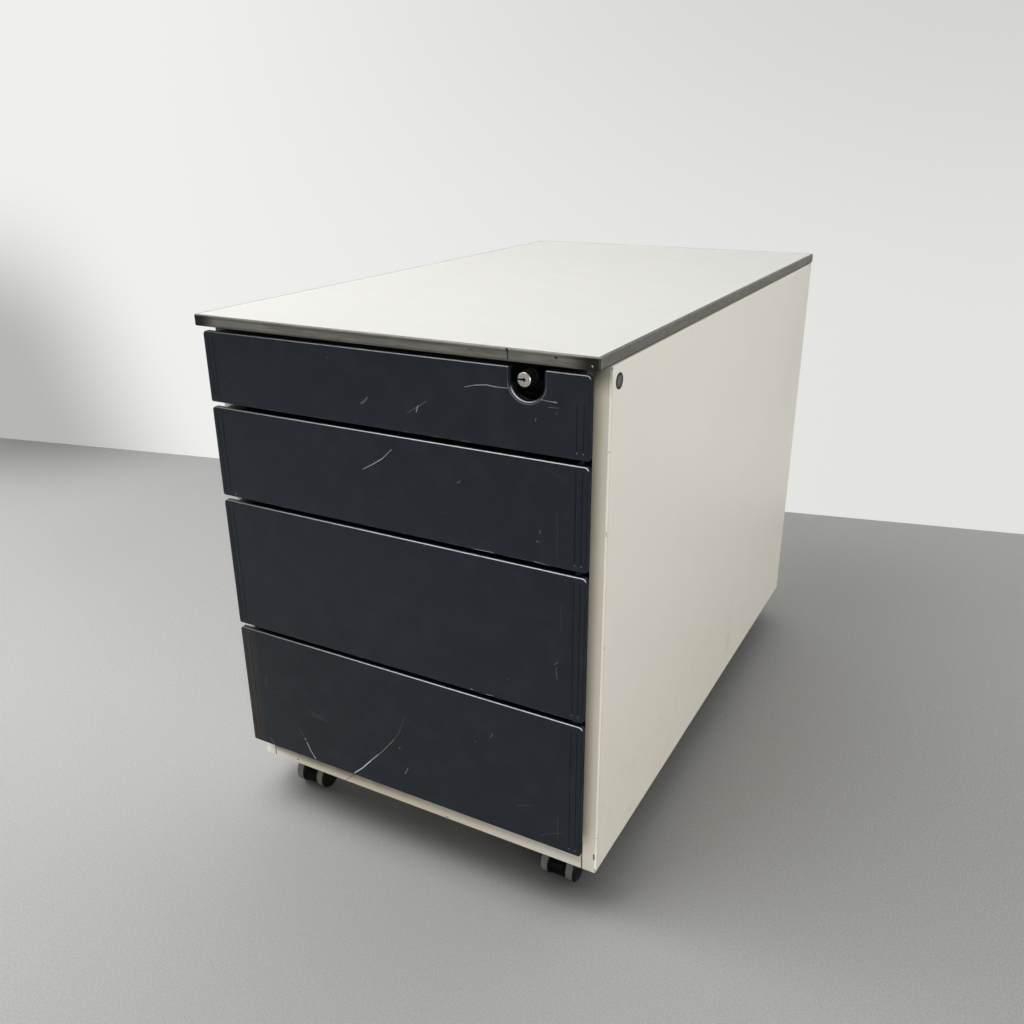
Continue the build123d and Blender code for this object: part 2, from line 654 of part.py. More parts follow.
def drawer_front(index):
    """Moulded front of one drawer."""
    bottom = FRONT_BOTTOMS[index]
    height = FRONT_HEIGHTS[index]
    has_lock = index == 0
    front = front_plate(bottom, height, has_lock) - front_grooves(bottom, height, has_lock)
    front += front_body(bottom, height, has_lock)
    return front - boss_pilots(bottom)


def lock_sleeve():
    """Black sleeve through the top front rail, with a plate that covers the rail behind it."""
    middle = SIDE_TOP - LOCK_PLATE_DROP - LOCK_PLATE_HEIGHT / 2
    outline = Pos(LOCK_X, middle) * RectangleRounded(LOCK_PLATE_WIDTH, LOCK_PLATE_HEIGHT,
                                                     LOCK_PLATE_CORNER)
    sleeve = extrude(wall_plane(CARCASS_FRONT + SHEET) * outline, LOCK_PLATE_THICKNESS)
    sleeve += bar_along_y(LOCK_X, LOCK_Z, SLEEVE_RADIUS, SLEEVE_FRONT, SLEEVE_BACK)
    bore = bar_along_y(LOCK_X, LOCK_Z, CORE_RADIUS + SLEEVE_BORE_CLEARANCE,
                       SLEEVE_FRONT - PAST, SLEEVE_BACK + PAST)
    return sleeve - bore


def lock_core():
    """Turning core with its face disc, the keyway and a socket for the rod."""
    neck = LOCK_FACE + LOCK_FACE_THICKNESS
    core = bar_along_y(LOCK_X, LOCK_Z, LOCK_FACE_RADIUS, LOCK_FACE, neck)
    core = chamfer(core.faces().sort_by(Axis.Y)[0].edges(), LOCK_FACE_BEVEL)
    core += bar_along_y(LOCK_X, LOCK_Z, CORE_RADIUS, neck, CORE_BACK)
    core -= block(LOCK_X - LOCK_FACE_RADIUS - PAST, LOCK_X, LOCK_FACE - PAST,
                  LOCK_FACE + KEYWAY_DEPTH, LOCK_Z - KEYWAY_WIDTH / 2, LOCK_Z + KEYWAY_WIDTH / 2)
    core -= bar_along_y(LOCK_X, LOCK_Z, KEY_HOLE_RADIUS, LOCK_FACE - PAST, LOCK_FACE + KEYWAY_DEPTH)
    socket = bar_along_y(LOCK_X, LOCK_Z, ROD_RADIUS + ROD_CLEARANCE,
                         CORE_BACK - ROD_SOCKET_DEPTH, CORE_BACK + PAST)
    return core - socket


def lock_rod():
    """Long rod from the core, with a crank disc whose off-centre pin lifts the bar."""
    rod = bar_along_y(LOCK_X, LOCK_Z, ROD_RADIUS, CORE_BACK - ROD_SOCKET_DEPTH, CRANK_FRONT)
    disc = bar_along_y(LOCK_X, LOCK_Z, CRANK_RADIUS, CRANK_FRONT, CRANK_BACK)
    pin = bar_along_y(LOCK_X + PIN_DX, LOCK_Z - PIN_DZ, CRANK_PIN_RADIUS,
                      CRANK_BACK, BAR_BACK + CRANK_PIN_RADIUS)
    return rod + disc + pin


def locking_bar():
    """Flat upright bar with a window for each tray's tongue and a slot for the crank pin."""
    bottom = TRAY_BOTTOMS[-1] + TONGUE_RISE - BAR_TAIL
    top = LOCK_Z - PIN_DZ + BAR_HEAD
    bar = block(BAR_X0, BAR_X0 + BAR_WIDTH, BAR_FRONT, BAR_BACK, bottom, top)
    for level in TRAY_BOTTOMS:
        z0 = level + TONGUE_RISE - WINDOW_CLEARANCE
        z1 = level + TONGUE_RISE + TONGUE_HEIGHT + WINDOW_CLEARANCE
        bar -= block(TONGUE_X - WINDOW_WIDTH / 2, TONGUE_X + WINDOW_WIDTH / 2,
                     BAR_FRONT - PAST, BAR_BACK + PAST, z0, z1)
    reach = CRANK_PIN_RADIUS + BAR_SLOT_CLEARANCE
    bar -= block(LOCK_X + PIN_DX - reach, LOCK_X + CRANK_THROW + reach, BAR_FRONT - PAST,
                 BAR_BACK + PAST, LOCK_Z - PIN_DZ - reach, LOCK_Z - PIN_DZ + reach)
    return bar


def bar_guide(z):
    """Nylon guide on the back panel that the bar slides through."""
    x0 = BAR_X0 - GUIDE_CLEARANCE
    x1 = BAR_X0 + BAR_WIDTH + GUIDE_CLEARANCE
    guide = block(x0 - GUIDE_WALL, x1 + GUIDE_WALL, BAR_FRONT - GUIDE_CLEARANCE - GUIDE_LIP,
                  BACK_FACE, z, z + GUIDE_HEIGHT)
    return guide - block(x0, x1, BAR_FRONT - GUIDE_CLEARANCE, BAR_BACK + GUIDE_CLEARANCE,
                         z - PAST, z + GUIDE_HEIGHT + PAST)


def guide_levels():
    """The guides sit above the tongues of the second and the lowest drawer."""
    rise = TONGUE_RISE + TONGUE_HEIGHT + WINDOW_CLEARANCE + BAR_LIFT + GUIDE_HEIGHT
    return [TRAY_BOTTOMS[index] + rise for index in (1, len(TRAY_BOTTOMS) - 1)]


def castor_plate(x, y):
    """Screwed-on plate of one castor."""
    plate = Pos(x, y, PLATE_BOTTOM) * extrude(
        RectangleRounded(PLATE_SIZE, PLATE_SIZE, PLATE_CORNER), PLATE_SHEET)
    half = PLATE_HOLE_SPACING / 2
    for dx in (-half, half):
        for dy in (-half, half):
            plate -= bar_along_z(x + dx, y + dy, PLATE_HOLE_RADIUS,
                                 PLATE_BOTTOM - PAST, PLATE_BOTTOM + PLATE_SHEET + PAST)
    return plate


def castor_stem(x, y):
    """Round stem under a plate, on which the castor swivels."""
    return bar_along_z(x, y, STEM_RADIUS, STEM_BOTTOM, PLATE_BOTTOM)


def castor_housing(x, y):
    """Swivelling housing: a web between the wheels, a hood over them, a neck and the axle."""
    half_web = WHEEL_GAP / 2 - HOUSING_SIDE_GAP
    outer_x = WHEEL_GAP / 2 + WHEEL_WIDTH
    axle_y = y - TRAIL
    web = bar_along_x(axle_y, AXLE_Z, HOUSING_RADIUS, x - half_web, x + half_web)
    web += block(x - half_web, x + half_web, axle_y, y + NECK_RADIUS, AXLE_Z - WEB_DROP,
                 AXLE_Z + HOOD_RADIUS)
    hood = bar_along_x(axle_y, AXLE_Z, HOOD_RADIUS, x - outer_x, x + outer_x)
    hood -= bar_along_x(axle_y, AXLE_Z, WHEEL_RADIUS + HOOD_GAP,
                        x - outer_x - PAST, x + outer_x + PAST)
    sector = hood_sector(axle_y)
    hood &= extrude(side_plane(x - outer_x - PAST) * sector, 2 * (outer_x + PAST))
    neck = bar_along_z(x, y, NECK_RADIUS, AXLE_Z + WHEEL_RADIUS + HOOD_GAP, HOUSING_TOP)
    axle = bar_along_x(axle_y, AXLE_Z, AXLE_RADIUS, x - outer_x + WHEEL_CAP + SEAT_GAP,
                       x + outer_x - WHEEL_CAP - SEAT_GAP)
    bore = bar_along_z(x, y, STEM_RADIUS + STEM_CLEARANCE, STEM_BOTTOM - STEM_END_GAP,
                       HOUSING_TOP + PAST)
    return web + hood + neck - bore + axle


def hood_sector(axle_y):
    """Wedge of the circle round the axle that the hood covers."""
    reach = 3 * HOOD_RADIUS
    low = radians(HOOD_REAR_ANGLE)
    high = radians(HOOD_FRONT_ANGLE)
    middle = (low + high) / 2
    corners = [(axle_y, AXLE_Z)]
    for angle in (low, middle, high):
        corners.append((axle_y + reach * cos(angle), AXLE_Z + reach * sin(angle)))
    return make_face(Polyline(*corners, close=True))


def castor_wheel(x, y, side):
    """One of the twin wheels: a rounded tread, a dished outer face and a blind bore."""
    axle_y = y - TRAIL
    inner = WHEEL_GAP / 2
    outer = inner + WHEEL_WIDTH
    with BuildSketch() as section:
        with BuildLine():
            Polyline((inner, 0), (inner, WHEEL_RADIUS - WHEEL_ROUND))
            RadiusArc((inner, WHEEL_RADIUS - WHEEL_ROUND), (inner + WHEEL_ROUND, WHEEL_RADIUS),
                      WHEEL_ROUND)
            Line((inner + WHEEL_ROUND, WHEEL_RADIUS), (outer - WHEEL_ROUND, WHEEL_RADIUS))
            RadiusArc((outer - WHEEL_ROUND, WHEEL_RADIUS), (outer, WHEEL_RADIUS - WHEEL_ROUND),
                      WHEEL_ROUND)
            Polyline((outer, WHEEL_RADIUS - WHEEL_ROUND), (outer, WHEEL_DISH_RADIUS),
                     (outer - WHEEL_DISH, WHEEL_DISH_RADIUS - WHEEL_DISH),
                     (outer - WHEEL_DISH, WHEEL_HUB_RADIUS + WHEEL_DISH),
                     (outer, WHEEL_HUB_RADIUS), (outer, 0), (inner, 0))
        make_face()
    wheel = revolve(section.sketch, Axis.X)
    wheel -= bar_along_x(0, 0, AXLE_RADIUS + AXLE_CLEARANCE, inner - PAST, outer - WHEEL_CAP)
    if side < 0:
        wheel = mirrored(wheel)
    return Pos(x, axle_y, AXLE_Z) * wheel


def build_carcass():
    """Write the fixed pieces of the carcass and the top."""
    save("top_board", top_board())
    save("top_edge_band", edge_band())
    panel = side_panel()
    save("side_panel_right", panel)
    save("side_panel_left", mirrored(panel))
    save("back_panel", back_panel())
    save("base_panel", base_panel())
    save("bottom_front_rail", bottom_front_rail())
    save("top_front_rail", top_front_rail())
    save("top_rear_rail", top_rear_rail())
    save("top_screws", *[top_screw(x, y) for x, y in screw_places()])
    cap = side_cap()
    save("side_caps", cap, mirrored(cap))
    posts = [upright(y0) for y0 in upright_fronts().values()]
    save("uprights_right", *posts)
    save("uprights_left", *[mirrored(post) for post in posts])


def build_lock():
    """Write the lock and the bar that it moves."""
    save("lock_sleeve", lock_sleeve())
    save("lock_core", lock_core())
    save("lock_rod", lock_rod())
    save("locking_bar", locking_bar())
    save("bar_guides", *[bar_guide(z) for z in guide_levels()])


def build_drawers():
    """Write the four drawers with their runners."""
    for index in range(len(FRONT_HEIGHTS)):
        name = f"drawer_{index + 1}"
        save(f"{name}_front", drawer_front(index))
        save(f"{name}_tray", *tray(index))
        outer = outer_runner(index)
        middle = middle_runner(index)
        inner = inner_runner(index)
        save(f"{name}_outer_runner_right", outer)
        save(f"{name}_outer_runner_left", mirrored(outer))
        save(f"{name}_middle_runners", middle, mirrored(middle))
        save(f"{name}_inner_runner_right", inner)
        save(f"{name}_inner_runner_left", mirrored(inner))


def build_castors():
    """Write the four castors."""
    places = castor_places()
    save("castor_plates", *[castor_plate(x, y) for x, y in places.values()])
    save("castor_stems", *[castor_stem(x, y) for x, y in places.values()])
    for name, (x, y) in places.items():
        save(f"castor_{name}_housing", castor_housing(x, y))
        save(f"castor_{name}_wheel_left", castor_wheel(x, y, -1))
        save(f"castor_{name}_wheel_right", castor_wheel(x, y, 1))


os.makedirs("parts", exist_ok=True)
build_carcass()
build_lock()
build_drawers()
build_castors()
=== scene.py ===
import json
import math

import bpy
from mathutils import Matrix, Vector


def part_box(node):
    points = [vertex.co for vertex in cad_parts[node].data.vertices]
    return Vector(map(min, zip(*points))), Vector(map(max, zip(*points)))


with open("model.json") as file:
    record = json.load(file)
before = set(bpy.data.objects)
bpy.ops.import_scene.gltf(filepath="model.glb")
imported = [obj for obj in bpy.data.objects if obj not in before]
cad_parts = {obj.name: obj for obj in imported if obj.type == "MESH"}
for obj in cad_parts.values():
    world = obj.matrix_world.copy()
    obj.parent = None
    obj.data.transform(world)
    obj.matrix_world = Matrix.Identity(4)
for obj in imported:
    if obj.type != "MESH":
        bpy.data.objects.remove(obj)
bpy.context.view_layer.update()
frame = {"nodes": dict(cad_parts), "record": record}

NODES = frame["nodes"]
SLOTS = {part["node"]: part["material_slot"] for part in frame["record"]["subparts"]}
MM = 0.001

# Places read from the model, in metres
FRONT_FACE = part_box("drawer_1_front")[0].y
PLATE_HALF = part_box("drawer_1_front")[1].x
FRONT_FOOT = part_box("drawer_4_front")[0].z
STILE_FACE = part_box("side_panel_right")[0].y
SIDE_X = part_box("side_panel_right")[1].x
TOP_LOW, TOP_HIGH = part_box("top_edge_band")
LOCK_AT = (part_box("lock_core")[0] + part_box("lock_core")[1]) / 2
LOCK_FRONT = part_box("lock_core")[0].y

# Sizes that the boxes don't give, in metres
STILE_SEAM = 0.1993
FRONT_CORNER = 0.004
CUTOUT_RADIUS = 0.016
CUTOUT_CENTRE = (LOCK_AT.x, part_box("drawer_1_front")[1].z - 0.012)
CAP_DISC = 0.0050

# Largest angle in degrees between faces that are shaded as one curve
SHARP_ANGLE = 32

# Fine grooves of the fronts, in millimetres; at the right of front 1 they stop lower
GROOVE_INSETS = (5.4, 11.5)
GROOVE_RADIUS = 0.55
GROOVE_MARGIN = 6.0
GROOVE_STOP = 24.0

# Stage, in metres: half the floor's width, the wall's foot and direction, and the distances
# where the far floor begins to show its plain tone, shows it alone and is palest
FLOOR_HALF = 9.0
WALL_FOOT = (0.127, 0.829, 0.0)
WALL_ALONG = (1.0, 0.218, 0.0)
WALL_HEIGHT = 5.0
FAR_FLOOR = (2.2, 3.4, 8.0)

# Soft boxes: name, place, what it faces, width, height and power
LIGHTS = (
    ("overhead", (-0.6, -1.0, 2.3), (0, 0, 0.4), 1.1, 1.1, 25.0),
    ("left_box", (-2.6, -0.6, 1.7), (0, 0, 0.3), 1.5, 1.5, 33.0),
    ("right_fill", (5.6, -2.6, 0.6), (0, 0, 0.4), 3.0, 0.9, 205.0),
    ("front_fill", (2.4, -4.6, 0.9), (0, 0, 0.3), 2.0, 1.4, 44.0),
)

# The photograph's camera, fitted to its edges: azimuth, elevation and roll in degrees
CAMERA_ANGLES = (28.726, 21.791, -0.436)
CAMERA_AT = (0.49935, TOP_LOW.y - 0.66183, 0.72973)
CAMERA_LENS, CAMERA_SENSOR = 33.20, 36.0


def linear(code):
    """Linear colour from a hex code such as 8a8b8c."""
    parts = [int(code[i:i + 2], 16) / 255 for i in (0, 2, 4)]
    return tuple(c / 12.92 if c <= 0.04045 else ((c + 0.055) / 1.055) ** 2.4
                 for c in parts) + (1.0,)


def stroke_group():
    """Node group that gives 1 on a thin line between two points and 0 away from it."""
    group = bpy.data.node_groups.new("stroke", "ShaderNodeTree")
    for name in ("Place", "Start", "End"):
        group.interface.new_socket(name, in_out="INPUT", socket_type="NodeSocketVector")
    group.interface.new_socket("Radius", in_out="INPUT", socket_type="NodeSocketFloat")
    group.interface.new_socket("Mask", in_out="OUTPUT", socket_type="NodeSocketFloat")
    add, link = group.nodes.new, group.links.new
    source, result = add("NodeGroupInput"), add("NodeGroupOutput")

    def vector(operation, a, b=None):
        node = add("ShaderNodeVectorMath")
        node.operation = operation
        link(a, node.inputs[0])
        if b is not None:
            link(b, node.inputs["Scale"] if operation == "SCALE" else node.inputs[1])
        return node.outputs["Value"] if operation in ("DOT_PRODUCT", "LENGTH") else node.outputs[0]

    def scalar(operation, a, b, clamp=False):
        node = add("ShaderNodeMath")
        node.operation, node.use_clamp = operation, clamp
        link(a, node.inputs[0])
        if isinstance(b, float):
            node.inputs[1].default_value = b
        else:
            link(b, node.inputs[1])
        return node.outputs[0]

    place, start, end, radius = (source.outputs[i] for i in range(4))
    away, line = vector("SUBTRACT", place, start), vector("SUBTRACT", end, start)
    share = scalar("DIVIDE", vector("DOT_PRODUCT", away, line),
                   vector("DOT_PRODUCT", line, line), clamp=True)
    gap = vector("SUBTRACT", away, vector("SCALE", line, share))
    fade = add("ShaderNodeMapRange")
    fade.interpolation_type = "SMOOTHSTEP"
    link(vector("LENGTH", gap), fade.inputs["Value"])
    link(radius, fade.inputs["From Min"])
    link(scalar("MULTIPLY", radius, 0.25), fade.inputs["From Max"])
    link(fade.outputs["Result"], result.inputs[0])
    return group


STROKE = stroke_group()


class Paint:
    """A node material that is built up from short calls."""

    def __init__(self, name, metallic=0.0, specular=0.5):
        self.material = bpy.data.materials.new(name)
        self.material.use_nodes = True
        self.tree = self.material.node_tree
        self.shader = self.tree.nodes["Principled BSDF"]
        self.shader.inputs["Metallic"].default_value = metallic
        self.shader.inputs["Specular IOR Level"].default_value = specular
        self.place = self.node("ShaderNodeTexCoord").outputs["Object"]
        self.x, self.y, self.z = self.split(self.place)

    def node(self, kind, **settings):
        """A new node with these settings."""
        made = self.tree.nodes.new(kind)
        for key, value in settings.items():
            setattr(made, key, value)
        return made

    def put(self, value, socket):
        """Link a socket to another, or set its value."""
        if isinstance(value, bpy.types.NodeSocket):
            self.tree.links.new(value, socket)
        else:
            socket.default_value = value

    def split(self, vector):
        """The three parts of a vector."""
        made = self.node("ShaderNodeSeparateXYZ")
        self.put(vector, made.inputs[0])
        return made.outputs

    def math(self, operation, a, b=0.0):
        """One math node."""
        made = self.node("ShaderNodeMath", operation=operation)
        self.put(a, made.inputs[0])
        self.put(b, made.inputs[1])
        return made.outputs[0]

    def times(self, *values):
        """Product of all the values."""
        result = values[0]
        for value in values[1:]:
            result = self.math("MULTIPLY", result, value)
        return result

    def most(self, *values):
        """Largest of the values."""
        result = values[0]
        for value in values[1:]:
            result = self.math("MAXIMUM", result, value)
        return result

    def less(self, a, b):
        """The first value less the second."""
        return self.math("SUBTRACT", a, b)

    def off(self, value, middle=None):
        """Distance of a value from a middle, or from 0."""
        return self.math("ABSOLUTE", value if middle is None else self.less(value, middle))

    def length(self, a, b):
        """Length of a vector with these two parts."""
        return self.math("SQRT", self.math("ADD", self.times(a, a), self.times(b, b)))

    def axle(self, low, high):
        """Distance from the axis along X through the middle of a box."""
        return self.length(self.less(self.y, (low.y + high.y) / 2),
                           self.less(self.z, (low.z + high.z) / 2))

    def scaled(self, x, y, z, turn=(0.0, 0.0, 0.0)):
        """Coordinates stretched along the axes after a turn."""
        made = self.node("ShaderNodeVectorRotate", rotation_type="EULER_XYZ")
        self.put(self.place, made.inputs["Vector"])
        self.put(turn, made.inputs["Rotation"])
        product = self.node("ShaderNodeVectorMath", operation="MULTIPLY")
        self.put(made.outputs[0], product.inputs[0])
        self.put((x, y, z), product.inputs[1])
        return product.outputs[0]

    def noise(self, scale, detail=3.0, rough=0.55, at=None):
        """Noise between 0 and 1, at other coordinates if they are given."""
        made = self.node("ShaderNodeTexNoise")
        for key, item in (("Vector", self.place if at is None else at), ("Scale", scale),
                          ("Detail", detail), ("Roughness", rough)):
            self.put(item, made.inputs[key])
        return made.outputs[0]

    def step(self, value, low, high, to_low=0.0, to_high=1.0):
        """Smooth change from to_low to to_high as value goes from low to high."""
        made = self.node("ShaderNodeMapRange", interpolation_type="SMOOTHSTEP")
        for key, item in (("Value", value), ("From Min", low), ("From Max", high),
                          ("To Min", to_low), ("To Max", to_high)):
            self.put(item, made.inputs[key])
        return made.outputs["Result"]

    def mix(self, share, a, b):
        """Colour between two others."""
        made = self.node("ShaderNodeMix", data_type="RGBA")
        # The colour sockets come after those for numbers and vectors
        self.put(share, made.inputs[0])
        self.put(a, made.inputs[6])
        self.put(b, made.inputs[7])
        return made.outputs[2]

    def blend(self, share, first, second):
        """Colour between two hex codes."""
        return self.mix(share, linear(first), linear(second))

    def tint(self, colour, mask, share, code):
        """Colour with a share of a hex code laid over it where the mask is 1."""
        return self.mix(mask if share == 1 else self.times(mask, share), colour, linear(code))

    def strokes(self, lines):
        """Mask of thin lines, each (radius in mm, strength, [points in mm])."""
        result = 0.0
        for radius, strength, points in lines:
            last = len(points) - 2
            for i in range(len(points) - 1):
                made = self.node("ShaderNodeGroup", node_tree=STROKE)
                ends = 0.7 if last > 0 and i in (0, last) else 1.0
                for key, item in (("Place", self.place), ("Radius", radius * ends * MM),
                                  ("Start", [c * MM for c in points[i]]),
                                  ("End", [c * MM for c in points[i + 1]])):
                    self.put(item, made.inputs[key])
                result = self.most(self.times(made.outputs[0], strength), result)
        return result

    def bump(self, height, distance, strength=0.5):
        """Relief of the surface, its full depth in metres."""
        made = self.node("ShaderNodeBump")
        self.put(height, made.inputs["Height"])
        self.put(distance, made.inputs["Distance"])
        self.put(strength, made.inputs["Strength"])
        self.put(made.outputs[0], self.shader.inputs["Normal"])

    def finish(self, colour, roughness):
        """Set the colour and the roughness, and give the material."""
        self.put(colour, self.shader.inputs["Base Color"])
        self.put(roughness, self.shader.inputs["Roughness"])
        return self.material

    def patchy(self, scale, low, high, detail=3.0):
        """Roughness that wanders between two values."""
        return self.step(self.noise(scale, detail), 0.3, 0.7, low, high)

    def glow(self, colour):
        """Plain tone that takes no light."""
        made = self.node("ShaderNodeEmission")
        self.put(colour, made.inputs["Color"])
        return made.outputs[0]

    def join(self, share, first, second):
        """Shader between two others."""
        made = self.node("ShaderNodeMixShader")
        for value, socket in zip((share, first, second), made.inputs):
            self.put(value, socket)
        return made.outputs[0]

    def surface(self, shader):
        """Replace what the material shows."""
        self.put(shader, self.tree.nodes["Material Output"].inputs["Surface"])


def laminate():
    """Warm white melamine with a pearl texture, faint wipe marks and hairlines; painted shade
    towards the back.
    """
    p = Paint("top_laminate")
    # Painted shade: the top is painted darker towards the back.
    colour = p.blend(p.step(p.y, TOP_LOW.y, TOP_HIGH.y), "efeee9", "e8e7e2")
    colour = p.tint(colour, p.noise(3.0, 4.0), 0.3, "dddbd4")
    hair = p.step(p.noise(60.0, 2.0, at=p.scaled(0.12, 9.0, 1.0, (0, 0, 1.1))), 0.72, 0.78)
    colour = p.tint(colour, hair, 0.25, "c9c7c0")
    speck = p.step(p.noise(420.0, 1.0), 0.74, 0.80)
    colour = p.tint(colour, speck, 0.18, "b9b6ad")
    wipe = p.noise(9.0, 3.0, at=p.scaled(1.0, 5.0, 1.0, (0, 0, 0.5)))
    p.bump(p.noise(900.0, 2.0), 0.00004)
    return p.finish(colour, p.step(wipe, 0.3, 0.7, 0.36, 0.5))


def edge_band():
    """Dark warm grey plastic: streaky front, nicks and a chip; painted shade at the ends, foot and
    sides, and a painted highlight on the arris.
    """
    p = Paint("edge_band", specular=0.22)
    front = p.step(p.y, TOP_LOW.y + 0.0024, TOP_LOW.y + 0.0012)
    aside = p.step(front, 0.5, 0.0)
    reach = p.off(p.x)
    drop = p.less(TOP_HIGH.z, p.z)
    inward = p.math("MINIMUM", p.less(TOP_HIGH.x, reach), p.less(p.y, TOP_LOW.y))

    colour = p.blend(p.noise(40.0, 4.0), "79786f", "64635d")
    grain = p.noise(300.0, 3.0, at=p.scaled(0.12, 0.12, 1.0))
    colour = p.tint(colour, grain, 0.35, "817f78")
    streaks = p.step(p.noise(55.0, 4.0, 0.7, at=p.scaled(0.30, 1.0, 5.0)), 0.42, 0.66)
    colour = p.tint(colour, p.times(streaks, front), 0.45, "35342f")
    under = p.times(p.step(drop, 0.0018, 0.0024), p.step(drop, 0.0040, 0.0030))
    colour = p.tint(colour, p.times(under, front), 0.5, "3a3935")
    # Painted shade: the front of the band is painted darker at its ends and towards its foot.
    ends = p.step(reach, TOP_HIGH.x - 0.034, TOP_HIGH.x - 0.008, 0.0, 0.95)
    foot = p.step(drop, 0.0075, 0.0105, 0.0, 0.45)
    colour = p.tint(colour, p.times(p.most(ends, foot), front), 1, "161514")
    upper = p.times(p.step(drop, 0.0010, 0.0004), p.step(inward, 0.0007, 0.0012))
    colour = p.tint(colour, upper, 0.85, "33322e")
    # Painted shade: the sides of the band are painted darker, with a painted shadow line along
    # their foot.
    colour = p.tint(colour, aside, 0.68, "45443f")
    line = p.times(p.step(drop, 0.0094, 0.0101), aside)
    colour = p.tint(colour, line, 0.9, "0e0d0c")
    # Painted highlight along the top arris, patchy, strongest on the front and at the right.
    arris_highlight = p.times(p.step(drop, 0.0015, 0.0006), p.step(inward, 0.0012, 0.0007),
                   p.step(p.noise(70.0, 3.0), 0.25, 0.55, 0.55, 1.0),
                   p.step(front, 0.0, 1.0, 0.35, 0.9), p.step(p.x, TOP_LOW.x, 0.02, 0.35, 1.0))
    colour = p.tint(colour, arris_highlight, 1, "a3a198")

    face = TOP_LOW.y / MM
    nicks = p.strokes([(1.5, 1.0, [(132.6, face, 569.2), (133.6, face, 567.6)]),
                       (0.9, 1.0, [(133.5, face, 568.0), (133.7, face, 561.3)]),
                       (1.4, 1.0, [(176.8, face, 566.7), (177.5, face, 566.0)]),
                       (0.5, 0.8, [(-40.0, face, 561.0), (-37.0, face, 560.4)]),
                       (0.4, 0.8, [(96.0, face, 565.2), (101.0, face, 565.0)])])
    nicks = p.times(nicks, p.step(p.noise(900.0, 2.0), 0.2, 0.4))
    colour = p.tint(colour, nicks, 1, "0d0d0c")
    chip = p.times(p.strokes([(0.9, 1.0, [(208.4, face, 563.0), (208.9, face, 562.2)])]),
                   p.step(p.noise(1100.0, 2.0), 0.38, 0.5))
    colour = p.tint(colour, chip, 1, "b5b2a9")
    p.bump(p.less(p.times(grain, 0.3), nicks), 0.0002)
    return p.finish(colour, p.patchy(120.0, 0.42, 0.55, 2.0))


def stile_shades(p, colour, front, reach, bend):
    """Stiles: painted light on the fronts and towards the bend, painted shade beside the drawers,
    lighter at the foot, a painted highlight and shade line at the bend; painted light atop the
    sides.
    """
    # Painted light: the front faces of the stiles and rails are painted lighter and warmer.
    colour = p.tint(colour, front, 0.7, "e4d9c1")
    # Painted light: a pale strip along the top of the sides, under the top.
    lit = p.times(p.step(p.z, TOP_LOW.z - 0.0032, TOP_LOW.z - 0.0006),
                  p.step(reach, SIDE_X - 0.0006, SIDE_X - 0.0002),
                  p.step(p.y, STILE_FACE + 0.0030, STILE_FACE + 0.0045))
    colour = p.tint(colour, lit, 0.75, "fffdf8")
    stile = p.times(front, p.step(reach, STILE_SEAM, STILE_SEAM + 0.0004))
    # Painted shade on the stiles beside the drawers, stronger higher up.
    shade_beside_drawers = p.times(p.step(reach, 0.2090, 0.1990, 0.0, 0.58), p.step(p.z, 0.05, 0.10, 0.4, 1.0))
    colour = p.tint(colour, p.times(stile, shade_beside_drawers), 1, "4a4335")
    # Painted light on the stiles, growing towards the bend.
    light_towards_edge = p.step(reach, 0.2055, 0.2125, 0.0, 0.55)
    colour = p.tint(colour, p.times(stile, light_towards_edge), 1, "fffaf0")
    # Painted highlight along the bend.
    colour = p.tint(colour, bend, 0.7, "d6cfbd")
    bright = p.times(front, p.step(p.z, 0.095, 0.060), p.step(p.x, -0.05, 0.20, 0.0, 0.75))
    colour = p.tint(colour, bright, 1, "f7f1e4")
    # Painted shade: a dark line on the sides just behind the bend.
    shade_behind_bend = p.times(p.step(p.y, STILE_FACE + 0.0020, STILE_FACE + 0.0026),
                     p.step(p.y, STILE_FACE + 0.0036, STILE_FACE + 0.0030))
    return p.tint(colour, shade_behind_bend, 0.35, "8d8976")


def rail_shades(p, colour, front, reach):
    """Bottom rail: painted shadow under the lowest front, a pale left end and a seam at each end.
    """
    # Painted shadow of the lowest front on the rail, stronger at the left, broken up with noise.
    shadow_under_front = p.times(front, p.step(reach, STILE_SEAM + 0.0005, STILE_SEAM - 0.0001),
                    p.step(p.z, FRONT_FOOT - 0.033, FRONT_FOOT - 0.023),
                    p.step(p.x, -0.20, 0.20, 0.95, 0.45),
                    p.step(p.noise(30.0, 3.0), 0.2, 0.6, 0.7, 1.0))
    colour = p.tint(colour, shadow_under_front, 1, "6a5e4b")
    pale = p.times(front, p.step(p.x, -0.150, -0.201), p.step(p.z, 0.060, 0.050))
    colour = p.tint(colour, pale, 0.50, "fbf9f3")
    seam = p.times(p.step(p.off(reach, STILE_SEAM), 0.0009, 0.0005), front,
                   p.step(p.z, FRONT_FOOT, FRONT_FOOT - 0.001))
    return p.tint(colour, seam, 0.85, "3b3428")


def shade_under_top(p, colour):
    """Shade of the top on the front, deeper at the left."""
    edge = p.step(p.x, 0.0, 0.1, STILE_FACE + 0.0040, STILE_FACE + 0.0014)
    shaded = p.times(p.step(p.z, TOP_LOW.z - 0.030, TOP_LOW.z - 0.003),
                     p.step(p.less(p.y, edge), 0.0006, 0.0),
                     p.step(p.x, 0.198, 0.213, 0.95, 0.70))
    return p.tint(colour, shaded, 1, "171511")


